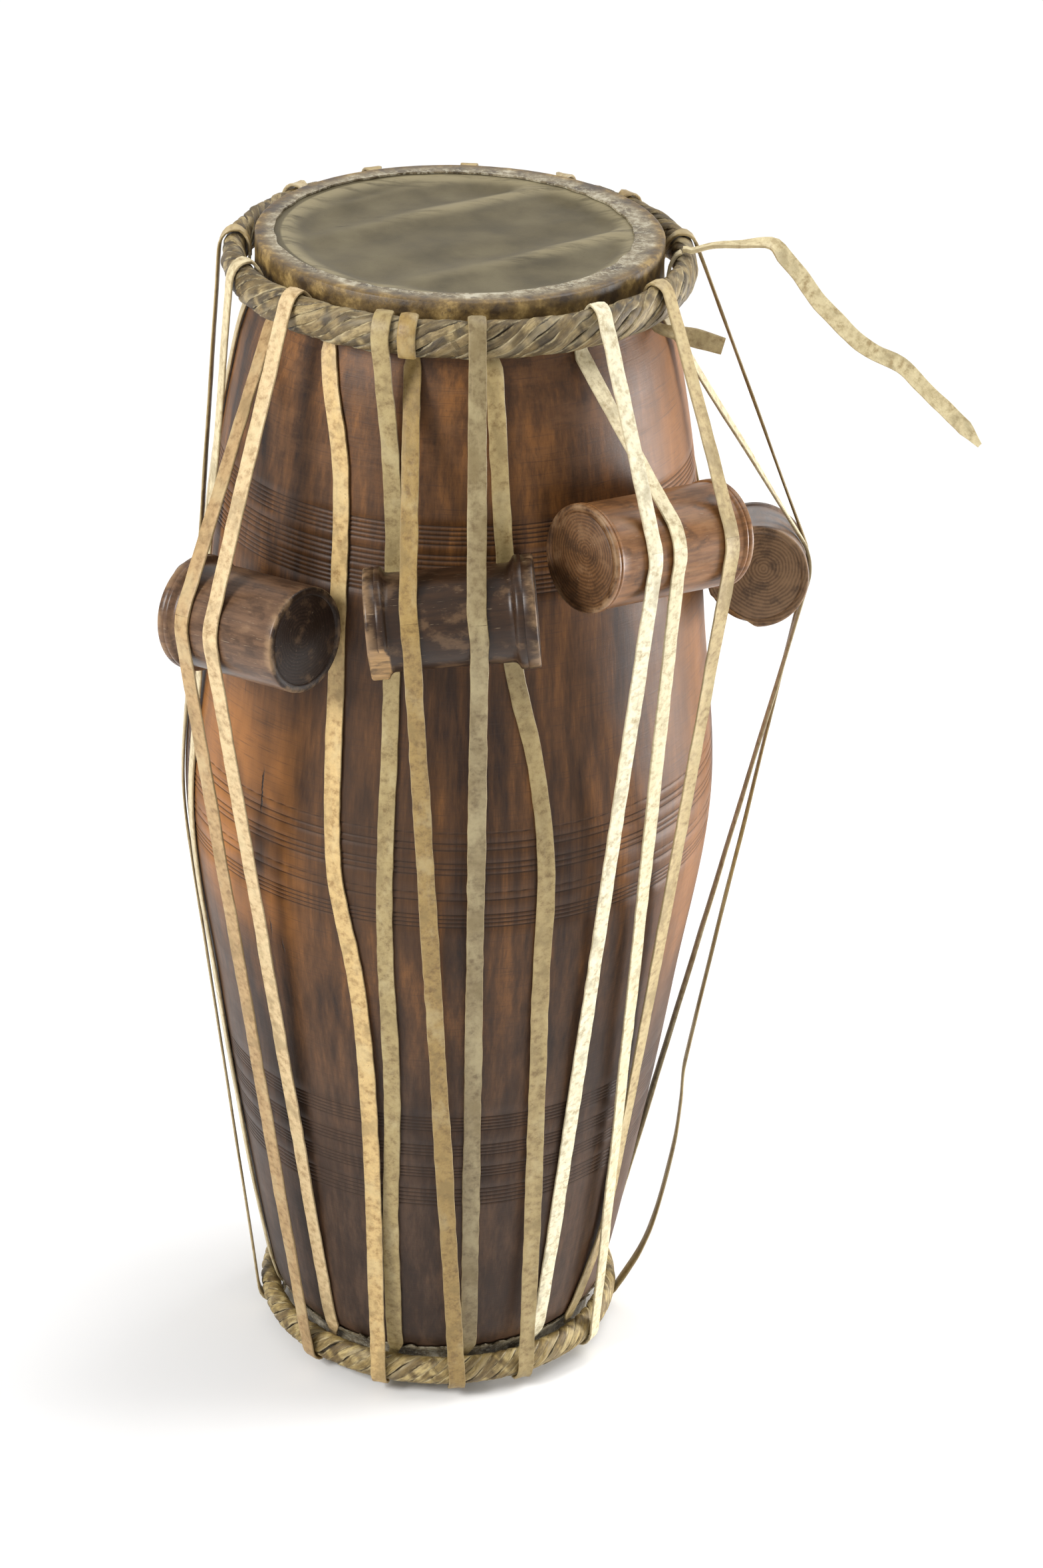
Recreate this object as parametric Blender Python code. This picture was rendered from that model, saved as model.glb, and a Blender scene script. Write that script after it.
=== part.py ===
"""Pakhawaj: a two-headed barrel drum of turned wood, laced with rawhide.

The drum stands on its treble head. Its axis is Z, z = 0 is the flat face it stands on, and the
side seen from the front faces -Y. Angles round the drum start at the front and grow towards +X.
Metres throughout.
"""

import bpy
import bmesh
from math import acos, atan, atan2, cos, degrees, hypot, pi, radians, sin
from mathutils import Matrix, Vector

# Overall sizes
HEIGHT = 0.660
GAP = 0.0003
TURNED_STEPS = 48
BLOCK_STEPS = 24

# Wooden shell: outer radius at heights above the treble face, then below the bass face
TREBLE_RIM_RADIUS = 0.0845
TREBLE_NECK_HEIGHT, TREBLE_NECK_RADIUS = 0.0225, 0.0870
TREBLE_FLARE_HEIGHT, TREBLE_FLARE_RADIUS = 0.0290, 0.0910
TREBLE_SHOULDER_HEIGHT, TREBLE_SHOULDER_RADIUS = 0.0370, 0.0970
LOWER_FLANK_HEIGHT, LOWER_FLANK_RADIUS = 0.150, 0.1172
LOWER_WAIST_HEIGHT, LOWER_WAIST_RADIUS = 0.235, 0.1298
BELLY_HEIGHT, BELLY_RADIUS = 0.345, 0.1441
UPPER_WAIST_HEIGHT, UPPER_WAIST_RADIUS = 0.450, 0.1353
BASS_FLANK_DEPTH, BASS_FLANK_RADIUS = 0.125, 0.1266
BASS_SHOULDER_DEPTH, BASS_SHOULDER_RADIUS = 0.053, 0.1137
BASS_FLARE_DEPTH, BASS_FLARE_RADIUS = 0.034, 0.1075
BASS_NECK_DEPTH, BASS_NECK_RADIUS = 0.023, 0.1037
BASS_RIM_RADIUS = 0.1033

# Bore of the shell
TREBLE_BORE_RADIUS = 0.0715
BELLY_BORE_RADIUS = 0.1220
BASS_BORE_RADIUS = 0.0885

# Heads: lining ring, main skin, outer ring of skin, and the black paste of the treble head
LINING_THICKNESS = 0.0008
SKIN_THICKNESS = 0.0008
RING_THICKNESS = 0.0010
TREBLE_HEM_HEIGHT = 0.0285
BASS_HEM_DEPTH = 0.0220
TREBLE_RING_HOLE_RADIUS = 0.0530
BASS_RING_HOLE_RADIUS = 0.0926
BASS_RING_HOLE_SHIFT = -0.0030
PASTE_RADIUS = 0.0500
PASTE_THICKNESS = 0.0010
SHOULDER_ROUNDING = 0.0020

# Hoops: radius of the middle line, half width, half height, and height of the middle line
TREBLE_HOOP_RADIUS = 0.0980
TREBLE_HOOP_HALF_WIDTH = 0.0062
TREBLE_HOOP_HALF_HEIGHT = 0.0092
TREBLE_HOOP_HEIGHT = 0.0177
BASS_HOOP_RADIUS = 0.1163
BASS_HOOP_HALF_WIDTH = 0.0070
BASS_HOOP_HALF_HEIGHT = 0.0105
BASS_HOOP_DEPTH = 0.0155
HOOP_SECTION_POINTS = 10

# Rawhide lacing
STRAP_WIDTH = 0.0092
STRAP_THICKNESS = 0.0015
STRAP_GAP = 0.0004
BEND_SPACING = 0.022
SLOT_WIDTH = 0.0052
TAIL_WIDTH = 0.0088
TAIL_THICKNESS = 0.0022
TAIL_FACING = (-0.10, -0.84, 0.53)
TAIL_TWIST_POINTS = 4

# Tuning blocks: the straps that pass under a block keep it this far off the shell
BLOCK_LIFT = 0.0022

# Name, angle of the middle and its depth below the bass face, tilt, length, body radius, then the
# radius and width of the rim at the left end and at the right end, seen from outside
BLOCKS = (
    ("block_front_left", -39.1, 0.1711, 5.1, 0.0743, 0.0272, (0.0300, 0.0070), (0.0272, 0.0)),
    ("block_front", 0.0, 0.1497, 6.3, 0.0846, 0.0248, (0.0283, 0.0090), (0.0286, 0.0100)),
    ("block_front_right", 39.4, 0.1255, -5.6, 0.0914, 0.0268, (0.0276, 0.0050), (0.0278, 0.0060)),
    ("block_right", 88.5, 0.1848, -15.2, 0.0850, 0.0268, (0.0268, 0.0), (0.0278, 0.0080)),
    ("block_back_right", 138.0, 0.2180, 3.0, 0.0820, 0.0262, (0.0276, 0.0075), (0.0276, 0.0075)),
    ("block_back", 180.0, 0.1600, -4.0, 0.0840, 0.0258, (0.0258, 0.0), (0.0282, 0.0080)),
    ("block_back_left", 222.0, 0.2670, 3.0, 0.0820, 0.0262, (0.0276, 0.0070), (0.0262, 0.0)),
)

# Rims with a flat sliced off: block, end (-1 left, 1 right), direction of the flat in degrees
# from outwards towards up, and how far the flat lies from the block's axis
SLICED_RIMS = (
    ("block_front", -1, -42.0, 0.0243),
    ("block_right", -1, -128.0, 0.0225),
)

# Runs of the lace, by number: angle at the bass hoop and at the treble hoop. Odd runs pass
# behind the bass hoop and over the treble hoop, even runs the other way round.
RUNS = {
    1: (-61.0, -44.0), 2: (-44.0, -38.0), 3: (-36.0, -18.0), 4: (-18.0, -14.0),
    5: (-11.8, 6.5), 6: (4.4, 10.5), 7: (9.5, 28.5), 8: (36.0, 35.5),
    9: (35.0, 59.0), 10: (59.0, 51.5), 11: (75.0, 97.0), 12: (98.0, 89.5),
    13: (107.0, 115.0), 14: (131.0, 122.0), 15: (138.0, 143.0), 16: (152.0, 149.0),
    17: (160.0, 166.0), 18: (178.0, 171.0), 19: (184.0, 192.0), 20: (204.0, 197.0),
    21: (211.0, 215.0), 22: (228.0, 220.0), 23: (236.0, 246.0), 24: (267.0, 253.0),
    25: (276.0, 277.0), 26: (291.0, 284.0),
}

# Runs that pass over a block: block, and how far along it from its middle
OVER_BLOCK = {
    1: ("block_front_left", -0.0215), 2: ("block_front_left", -0.0020),
    5: ("block_front", -0.0205), 6: ("block_front", 0.0130),
    8: ("block_front_right", -0.0210), 9: ("block_front_right", -0.0050),
    10: ("block_front_right", 0.0300),
    11: ("block_right", -0.0110), 12: ("block_right", 0.0200),
    14: ("block_back_right", -0.0140), 15: ("block_back_right", 0.0130),
    18: ("block_back", -0.0140), 19: ("block_back", 0.0130),
    21: ("block_back_left", -0.0150), 22: ("block_back_left", 0.0130),
}

# Runs that a block presses against the shell
UNDER_BLOCK = {3: "block_front_left", 4: "block_front", 7: "block_front"}

# Angles that a run passes through on its way down, by height
WAYPOINTS = {
    3: ((0.572, -28.0), (0.500, -26.0), (0.365, -24.0), (0.286, -19.2), (0.185, -17.5)),
    4: ((0.568, -14.3), (0.465, -12.8), (0.319, -12.7), (0.215, -12.0), (0.125, -13.5)),
    7: ((0.562, 10.8), (0.475, 13.5), (0.427, 17.9), (0.374, 20.4), (0.293, 21.1), (0.184, 23.7)),
}

# Places below its block that a loose run hangs through: height, angle, and distance off the shell.
# Run 10 kinks before it dives behind run 9, and run 12 is slack and bows out.
SLACK_POINTS = {
    10: ((0.100, 57.5, 0.0012),),
    12: ((0.168, 88.0, 0.0165), (0.1420, 88.0, 0.0195), (0.1145, 88.0, 0.0215),
         (0.070, 88.3, 0.0215), (0.040, 88.8, 0.0190)),
}

# Runs that pass the treble hoop the other way: 11 behind it and 12 over it
SWAPPED_AT_TREBLE = (11, 12)

# The laces: the front one starts with a cut end on the bass hoop and ends in a stub under it,
# the long one starts where the loose tail leaves the bass hoop
FRONT_LACE_RUNS = tuple(range(5, 11))
LONG_LACE_RUNS = tuple(range(11, 27)) + tuple(range(1, 5))
TAIL_ANGLE = 84.0
STUB_ANGLE = 67.0
STUB_END = (0.1350, -0.0480, 0.6180)
CUT_END_REACH = 50.0

# Route of the loose tail, from the bass hoop outwards: across, depth, height
TAIL_ROUTE = (
    (0.1290, -0.0122, 0.6588), (0.1450, -0.0122, 0.6600), (0.1560, -0.0120, 0.6610),
    (0.1612, -0.0120, 0.6600), (0.1655, -0.0120, 0.6550), (0.1720, -0.0115, 0.6475),
    (0.1790, -0.0112, 0.6385), (0.1860, -0.0110, 0.6290), (0.1950, -0.0110, 0.6200),
    (0.2080, -0.0110, 0.6075), (0.2190, -0.0110, 0.6010), (0.2300, -0.0110, 0.5960),
    (0.2420, -0.0110, 0.5845), (0.2540, -0.0110, 0.5730), (0.2660, -0.0110, 0.5615),
    (0.2745, -0.0110, 0.5520),
)

# Heights worked out from the sizes above
TREBLE_SKIN_BASE = RING_THICKNESS + GAP
TREBLE_LINING_BASE = TREBLE_SKIN_BASE + SKIN_THICKNESS + GAP
TREBLE_RIM = TREBLE_LINING_BASE + LINING_THICKNESS + GAP
BASS_SKIN_TOP = HEIGHT - RING_THICKNESS - GAP
BASS_LINING_TOP = BASS_SKIN_TOP - SKIN_THICKNESS - GAP
BASS_RIM = BASS_LINING_TOP - LINING_THICKNESS - GAP
BASS_HEM = HEIGHT - BASS_HEM_DEPTH
WRAP_THICKNESS = GAP + SKIN_THICKNESS + GAP + RING_THICKNESS
STRAP_OFFSET = STRAP_GAP + STRAP_THICKNESS / 2

SHELL_OUTLINE = (
    (TREBLE_RIM, TREBLE_RIM_RADIUS),
    (TREBLE_NECK_HEIGHT, TREBLE_NECK_RADIUS),
    (TREBLE_FLARE_HEIGHT, TREBLE_FLARE_RADIUS),
    (TREBLE_SHOULDER_HEIGHT, TREBLE_SHOULDER_RADIUS),
    (LOWER_FLANK_HEIGHT, LOWER_FLANK_RADIUS),
    (LOWER_WAIST_HEIGHT, LOWER_WAIST_RADIUS),
    (BELLY_HEIGHT, BELLY_RADIUS),
    (UPPER_WAIST_HEIGHT, UPPER_WAIST_RADIUS),
    (HEIGHT - BASS_FLANK_DEPTH, BASS_FLANK_RADIUS),
    (HEIGHT - BASS_SHOULDER_DEPTH, BASS_SHOULDER_RADIUS),
    (HEIGHT - BASS_FLARE_DEPTH, BASS_FLARE_RADIUS),
    (HEIGHT - BASS_NECK_DEPTH, BASS_NECK_RADIUS),
    (BASS_RIM, BASS_RIM_RADIUS),
)

for leftover in list(bpy.data.objects):
    bpy.data.objects.remove(leftover)


def material(name, colour, roughness):
    """A Principled material of one colour."""
    made = bpy.data.materials.new(name)
    made.use_nodes = True
    shader = made.node_tree.nodes["Principled BSDF"]
    shader.inputs["Base Color"].default_value = (*colour, 1.0)
    shader.inputs["Roughness"].default_value = roughness
    shader.inputs["Metallic"].default_value = 0.0
    return made


SHELL_WOOD = material("shell_wood", (0.16, 0.062, 0.032), 0.45)
BLOCK_WOOD = material("block_wood", (0.11, 0.055, 0.034), 0.40)
DRUM_SKIN = material("drum_skin", (0.33, 0.31, 0.25), 0.60)
RING_SKIN = material("ring_skin", (0.36, 0.27, 0.15), 0.65)
LINING_SKIN = material("lining_skin", (0.45, 0.38, 0.25), 0.70)
HOOP_LEATHER = material("hoop_leather", (0.30, 0.24, 0.14), 0.70)
LACE_RAWHIDE = material("lace_rawhide", (0.66, 0.52, 0.27), 0.60)
TUNING_PASTE = material("tuning_paste", (0.02, 0.02, 0.02), 0.70)


def add_object(name, mesh_builder, surface, smooth=True):
    """Turn a bmesh into a named object with one material."""
    bmesh.ops.recalc_face_normals(mesh_builder, faces=mesh_builder.faces)
    mesh = bpy.data.meshes.new(name)
    mesh_builder.to_mesh(mesh)
    mesh_builder.free()
    if smooth:
        mesh.shade_smooth()
        mesh.set_sharp_from_angle(angle=radians(40))
    mesh.materials.append(surface)
    made = bpy.data.objects.new(name, mesh)
    bpy.context.collection.objects.link(made)
    return made


def spin_outline(outline, steps):
    """Spin an outline of (radius, height) points about Z. One that leaves the axis is closed."""
    built = bmesh.new()
    points = [built.verts.new((radius, 0.0, height)) for radius, height in outline]
    edges = [built.edges.new(pair) for pair in zip(points, points[1:])]
    if outline[0][0] > 0:
        edges.append(built.edges.new((points[-1], points[0])))
    bmesh.ops.spin(built, geom=points + edges, cent=(0, 0, 0), axis=(0, 0, 1), angle=2 * pi,
                   steps=steps, use_merge=True)
    bmesh.ops.remove_doubles(built, verts=built.verts, dist=1e-6)
    return built


def polar(radius, angle, height):
    """A point round the drum, its angle in radians from the front towards +X."""
    return Vector((radius * sin(angle), -radius * cos(angle), height))


def sideways(angle):
    """The level direction round the drum at an angle."""
    return Vector((cos(angle), sin(angle), 0.0))


def smooth_through(outline, height):
    """The value of a smooth curve through (height, value) points."""
    heights = [point[0] for point in outline]
    values = [point[1] for point in outline]
    height = min(max(height, heights[0]), heights[-1])
    span = max(i for i in range(len(outline) - 1) if heights[i] <= height)

    def slope(i):
        low, high = max(i - 1, 0), min(i + 1, len(outline) - 1)
        return (values[high] - values[low]) / (heights[high] - heights[low])

    length = heights[span + 1] - heights[span]
    t = (height - heights[span]) / length
    return (values[span] * (1 + 2 * t) * (1 - t) ** 2
            + values[span + 1] * t * t * (3 - 2 * t)
            + length * slope(span) * t * (1 - t) ** 2
            - length * slope(span + 1) * t * t * (1 - t))


def shell_radius(height):
    """Outer radius of the shell."""
    return smooth_through(SHELL_OUTLINE, height)


# Shell: a hollow barrel, open at both ends
SHELL_STATION = 0.026


def shell_heights():
    """Heights of the rings of the shell's outside, close together where it curves most."""
    middle_start = TREBLE_SHOULDER_HEIGHT
    middle_end = HEIGHT - BASS_SHOULDER_DEPTH
    count = round((middle_end - middle_start) / SHELL_STATION)
    middle = [middle_start + (middle_end - middle_start) * i / count for i in range(count + 1)]
    foot = [TREBLE_RIM, TREBLE_NECK_HEIGHT, TREBLE_FLARE_HEIGHT]
    head = [HEIGHT - BASS_FLARE_DEPTH, HEIGHT - BASS_NECK_DEPTH, BASS_RIM]
    return foot + middle + head


def faceted_radius(height):
    """Outer radius of the shell between two of its rings."""
    heights = shell_heights()
    height = min(max(height, heights[0]), heights[-1])
    above = next(i for i in range(1, len(heights)) if height <= heights[i])
    low, high = heights[above - 1], heights[above]
    share = (height - low) / (high - low)
    return shell_radius(low) * (1 - share) + shell_radius(high) * share


def seat_radius(height):
    """Radius of whatever a strap lies on: the shell, or the skins wrapped round its ends."""
    wrapped = height <= TREBLE_HEM_HEIGHT + GAP or height >= BASS_HEM - GAP
    return faceted_radius(height) + (WRAP_THICKNESS + GAP if wrapped else 0.0)


def bore_radius(height):
    """Radius of the bore, widest at the belly."""
    outline = (
        (TREBLE_RIM, TREBLE_BORE_RADIUS),
        (BELLY_HEIGHT, BELLY_BORE_RADIUS),
        (BASS_RIM, BASS_BORE_RADIUS),
    )
    return smooth_through(outline, height)


def make_shell():
    outside = [(shell_radius(height), height) for height in shell_heights()]
    bore_steps = 8
    bore_heights = [BASS_RIM + (TREBLE_RIM - BASS_RIM) * i / bore_steps for i in range(bore_steps + 1)]
    inside = [(bore_radius(height), height) for height in bore_heights]
    add_object("shell", spin_outline(outside + inside, TURNED_STEPS), SHELL_WOOD)


make_shell()


# Heads: skins laid over each end and drawn down round it to a hem under the lacing hoop
def wrapped_skin(face, face_sign, hem, inner_offset, thickness, hole_radius):
    """Outline of a skin: level over the end, then down along the shell to the hem.

    face is the height of the outer face, face_sign +1 on the bass end and -1 on the treble end,
    inner_offset the distance from the shell to the skin's inner side.
    """
    rim = BASS_RIM if face_sign > 0 else TREBLE_RIM
    between = [height for height in shell_heights() if min(rim, hem) < height < max(rim, hem)]
    down_side = [rim] + sorted(between, reverse=face_sign > 0) + [hem]
    outer = inner_offset + thickness
    inner_side = [(faceted_radius(height) + inner_offset, height) for height in down_side]
    outer_side = [(faceted_radius(height) + outer, height) for height in down_side]
    rim_radius = outer_side[0][0]
    inner_face = face - face_sign * thickness
    rounding = [
        (rim_radius - SHOULDER_ROUNDING, face),
        (rim_radius - SHOULDER_ROUNDING * 0.3, face - face_sign * SHOULDER_ROUNDING * 0.3),
    ]
    top = [(hole_radius, face)] + rounding + outer_side
    return top + inner_side[::-1] + [(inner_side[0][0], inner_face), (hole_radius, inner_face)]


def make_head(end, face, face_sign, hem, hole_radius, bore):
    """The lining ring, main skin and outer ring of one head."""
    skin_face = face - face_sign * (RING_THICKNESS + GAP)
    lining_face = skin_face - face_sign * (SKIN_THICKNESS + GAP)
    rim = BASS_RIM if face_sign > 0 else TREBLE_RIM
    lining_edge = shell_radius(rim) - GAP
    lining = [
        (bore, lining_face),
        (lining_edge, lining_face),
        (lining_edge, lining_face - face_sign * LINING_THICKNESS),
        (bore, lining_face - face_sign * LINING_THICKNESS),
    ]
    add_object(end + "_lining_ring", spin_outline(lining, TURNED_STEPS), LINING_SKIN)
    skin = wrapped_skin(skin_face, face_sign, hem, GAP, SKIN_THICKNESS, 0.0)
    add_object(end + "_skin", spin_outline(skin, TURNED_STEPS), DRUM_SKIN)
    ring_offset = GAP + SKIN_THICKNESS + GAP
    ring = wrapped_skin(face, face_sign, hem, ring_offset, RING_THICKNESS, hole_radius)
    return spin_outline(ring, TURNED_STEPS)


def make_heads():
    treble = make_head("treble", 0.0, -1, TREBLE_HEM_HEIGHT, TREBLE_RING_HOLE_RADIUS,
                       TREBLE_BORE_RADIUS)
    add_object("treble_ring", treble, RING_SKIN)
    bass = make_head("bass", HEIGHT, 1, BASS_HEM, BASS_RING_HOLE_RADIUS, BASS_BORE_RADIUS)
    for corner in bass.verts:
        if hypot(corner.co.x, corner.co.y) < BASS_RING_HOLE_RADIUS + GAP:
            corner.co.x += BASS_RING_HOLE_SHIFT
    add_object("bass_ring", bass, RING_SKIN)
    paste = [(0.0, 0.0), (PASTE_RADIUS, 0.0), (PASTE_RADIUS, PASTE_THICKNESS), (0.0, PASTE_THICKNESS)]
    add_object("treble_paste", spin_outline(paste, TURNED_STEPS), TUNING_PASTE)


make_heads()


# Hoops: rings of twisted rawhide that the lacing pulls against
class Hoop:
    """The middle line and section of a hoop. side is +1 where straps loop over its top."""

    def __init__(self, radius, half_width, half_height, height, side):
        self.radius = radius
        self.half_width = half_width
        self.half_height = half_height
        self.height = height
        self.side = side

    def make(self, name):
        turns = [2 * pi * i / HOOP_SECTION_POINTS for i in range(HOOP_SECTION_POINTS)]
        outline = [(self.radius + self.half_width * cos(turn),
                    self.height + self.half_height * sin(turn)) for turn in turns]
        add_object(name, spin_outline(outline, TURNED_STEPS), HOOP_LEATHER)

    def strap_point(self, angle, turn):
        """Middle of a strap that hugs the hoop, turn degrees from its outermost line."""
        radius = self.radius + (self.half_width + STRAP_OFFSET) * cos(radians(turn))
        rise = (self.half_height + STRAP_OFFSET) * sin(radians(turn))
        return polar(radius, radians(angle), self.height + self.side * rise)

    def inner_limit(self, height):
        """Radius of the hoop's inner side at a height within it."""
        share = min(abs(height - self.height) / self.half_height, 1.0)
        return self.radius - self.half_width * (1 - share * share) ** 0.5


BASS_HOOP = Hoop(BASS_HOOP_RADIUS, BASS_HOOP_HALF_WIDTH, BASS_HOOP_HALF_HEIGHT,
                 HEIGHT - BASS_HOOP_DEPTH, 1)
TREBLE_HOOP = Hoop(TREBLE_HOOP_RADIUS, TREBLE_HOOP_HALF_WIDTH, TREBLE_HOOP_HALF_HEIGHT,
                   TREBLE_HOOP_HEIGHT, -1)
BASS_HOOP.make("bass_hoop")
TREBLE_HOOP.make("treble_hoop")


# Tuning blocks: spools of wood wedged between the lacing and the shell
class Block:
    """Place and size of a block: its middle, and its directions along, outwards and up."""

    def __init__(self, name, angle, depth, tilt, length, radius, left_rim, right_rim):
        height = HEIGHT - depth
        self.name = name
        self.length = length
        self.radius = radius
        self.height = height
        self.rims = (left_rim, right_rim)
        turned = radians(angle)
        step = 0.002
        slope = (shell_radius(height + step) - shell_radius(height - step)) / (2 * step)
        outwards = polar(1.0, turned, 0.0)
        self.slide = (Vector((0, 0, 1)) + slope * outwards).normalized()
        level = sideways(turned)
        self.normal = level.cross(self.slide).normalized()
        self.along = (level * cos(radians(tilt)) + self.slide * sin(radians(tilt))).normalized()
        self.up = self.normal.cross(self.along)
        seat = polar(shell_radius(height), turned, height)
        self.middle = seat + self.normal * (BLOCK_LIFT + radius)

    def outline(self):
        """The spool's outline as (radius, distance along) points."""
        half = self.length / 2
        points = [(0.0, -half)]
        for end, (rim_radius, rim_width) in zip((-1, 1), self.rims):
            chamfer = 0.0012
            rim = [(rim_radius - chamfer, end * half), (rim_radius, end * (half - chamfer))]
            if rim_width > 0:
                rim.append((rim_radius, end * (half - rim_width)))
                rim.append((self.radius, end * (half - rim_width - 2 * (rim_radius - self.radius) / 3)))
            points += rim if end < 0 else rim[::-1]
        return points + [(0.0, half)]

    def make(self):
        built = spin_outline(self.outline(), BLOCK_STEPS)
        for block_name, end, direction, distance in SLICED_RIMS:
            if block_name == self.name:
                self.slice_rim(built, end, radians(direction), distance)
        made = add_object(self.name, built, BLOCK_WOOD)
        axes = Matrix((self.up, self.normal, self.along)).transposed()
        made.matrix_world = Matrix.Translation(self.middle) @ axes.to_4x4()

    def slice_rim(self, built, end, direction, distance):
        """Press the rim's corners that lie past a plane onto that plane."""
        towards = Vector((sin(direction), cos(direction), 0.0))
        rim_width = max(self.rims[0 if end < 0 else 1][1], self.length / 8)
        for corner in built.verts:
            if corner.co.z * end > self.length / 2 - rim_width - GAP:
                past = corner.co.dot(towards) - distance
                if past > 0:
                    corner.co -= towards * past

    def strap_turn(self, offset, above, below):
        """Points where a strap wraps the block on its way from above to below."""
        centre = self.middle + self.along * offset
        reach = self.radius + STRAP_OFFSET
        turns = []
        for point, sign in ((above, -1), (below, 1)):
            away = point - centre
            flat = Vector((away.dot(self.normal), away.dot(self.up)))
            turns.append(atan2(flat.y, flat.x) + sign * acos(reach / flat.length))
        steps = max(2, round(abs(degrees(turns[0] - turns[1])) / 13))
        points = []
        for i in range(steps + 1):
            turn = turns[0] + (turns[1] - turns[0]) * i / steps
            points.append(centre + (self.normal * cos(turn) + self.up * sin(turn)) * reach)
        return points


BLOCK_BY_NAME = {row[0]: Block(*row) for row in BLOCKS}
for block in BLOCK_BY_NAME.values():
    block.make()


# Lacing: flat rawhide straps that zigzag between the hoops
class Station:
    """A cross-section of a strap: its middle, the direction of its width, and its sizes."""

    def __init__(self, middle, across, width=STRAP_WIDTH, thickness=STRAP_THICKNESS):
        self.middle = middle
        self.across = across
        self.width = width
        self.thickness = thickness


def make_strap(name, stations):
    """One closed flat strap through its stations."""
    built = bmesh.new()
    rings = []
    for i, station in enumerate(stations):
        before = stations[max(i - 1, 0)].middle
        after = stations[min(i + 1, len(stations) - 1)].middle
        ahead = (after - before).normalized()
        across = (station.across - ahead * station.across.dot(ahead)).normalized()
        out = across.cross(ahead)
        half_across = across * station.width / 2
        half_out = out * station.thickness / 2
        corners = (half_across + half_out, half_out - half_across,
                   -half_across - half_out, half_across - half_out)
        rings.append([built.verts.new(station.middle + corner) for corner in corners])
    for ring, following in zip(rings, rings[1:]):
        for side in range(4):
            built.faces.new((ring[side], ring[side - 1], following[side - 1], following[side]))
    built.faces.new(rings[0])
    built.faces.new(rings[-1])
    add_object(name, built, LACE_RAWHIDE, smooth=False)


def at_angle(point):
    """The angle round the drum of a point, in radians."""
    return atan2(point.x, -point.y)


def taut_outline(start, end):
    """Corner points (height, radius) of a strap pulled tight over the shell between two points."""
    high, low = max(start, end), min(start, end)
    points = [low]
    for height in sorted(shell_heights() + [TREBLE_HEM_HEIGHT, BASS_HEM]):
        if low[0] < height < high[0]:
            points.append((height, seat_radius(height) + STRAP_OFFSET * 1.1))
    points.append(high)
    outline = []
    for point in points:
        while len(outline) > 1:
            (z0, r0), (z1, r1) = outline[-2], outline[-1]
            if (z1 - z0) * (point[1] - r0) < (r1 - r0) * (point[0] - z0):
                break
            outline.pop()
        outline.append(point)
    return outline[::-1]


def taut_stretch(upper, lower, angle_at=None):
    """Points strictly between two points, down a strap that is tight over the shell."""
    upper_pair = (upper.z, hypot(upper.x, upper.y))
    lower_pair = (lower.z, hypot(lower.x, lower.y))
    outline = taut_outline(upper_pair, lower_pair)
    if angle_at is None:
        points = []
        for height, radius in outline[1:-1]:
            share = (upper.z - height) / (upper.z - lower.z)
            points.append(polar(radius, at_angle(upper.lerp(lower, share)), height))
        return points
    points = []
    for (high, high_radius), (low, low_radius) in zip(outline, outline[1:]):
        steps = max(1, round((high - low) / BEND_SPACING))
        for i in range(steps):
            share = i / steps
            height = high + (low - high) * share
            points.append(polar(high_radius + (low_radius - high_radius) * share, angle_at(height), height))
    return points[1:]


def hoop_turn(hoop, out_angle, in_angle, leave_turn=0.0):
    """Stations of a strap round a hoop, from its outer side to behind it.

    The strap narrows in the slot behind the hoop, where it shifts from one angle to the other.
    """
    shift = (in_angle - out_angle + 180) % 360 - 180
    steps = max(1, round((90 - leave_turn) / 18))
    stations = []
    for i in range(steps):
        turn = leave_turn + (90 - leave_turn) * i / steps
        stations.append(Station(hoop.strap_point(out_angle, turn), sideways(radians(out_angle))))
    for turn, share, width_share in ((90, 0.0, 0.0), (108, 0.0, 0.7), (126, 0.02, 1.0),
                                     (144, 0.07, 1.0), (162, 0.17, 1.0), (180, 0.34, 1.0)):
        angle = out_angle + shift * share
        width = STRAP_WIDTH + (SLOT_WIDTH - STRAP_WIDTH) * width_share
        point = hoop.strap_point(angle, turn)
        stations.append(Station(point, sideways(radians(angle)), width))
    for share_of_height, share, width_share in ((0.55, 0.60, 1.0), (1.15, 0.86, 0.8)):
        height = hoop.height - hoop.side * hoop.half_height * share_of_height
        angle = out_angle + shift * share
        width = STRAP_WIDTH + (SLOT_WIDTH - STRAP_WIDTH) * width_share
        seat = seat_radius(height) + STRAP_OFFSET
        if share_of_height < 1:
            seat = (seat + hoop.inner_limit(height) - STRAP_OFFSET) / 2
        stations.append(Station(polar(seat, radians(angle), height), sideways(radians(angle)), width))
    stations.append(Station(inner_anchor(hoop, in_angle), sideways(radians(in_angle))))
    return stations


def inner_anchor(hoop, angle):
    """Where a strap that passes behind a hoop comes clear of it."""
    height = hoop.height - hoop.side * hoop.half_height * 1.75
    return polar(seat_radius(height) + STRAP_OFFSET * 1.2, radians(angle), height)


def outer_anchor(hoop, angle):
    """Where a strap lies on the outermost line of a hoop."""
    return hoop.strap_point(angle, 0.0)


def leave_turn(hoop, anchor, away):
    """Degrees from a hoop's outermost line at which a strap to another point leaves it."""
    outwards = hypot(away.x, away.y) - hypot(anchor.x, anchor.y)
    drop = abs(away.z - anchor.z)
    slope = max(outwards, 0.0) / drop * hoop.half_height / hoop.half_width
    return degrees(atan(slope))


def behind_treble_hoop(number):
    """Whether a run passes behind the treble hoop, and not over it."""
    return (number % 2 == 0) != (number in SWAPPED_AT_TREBLE)


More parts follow.
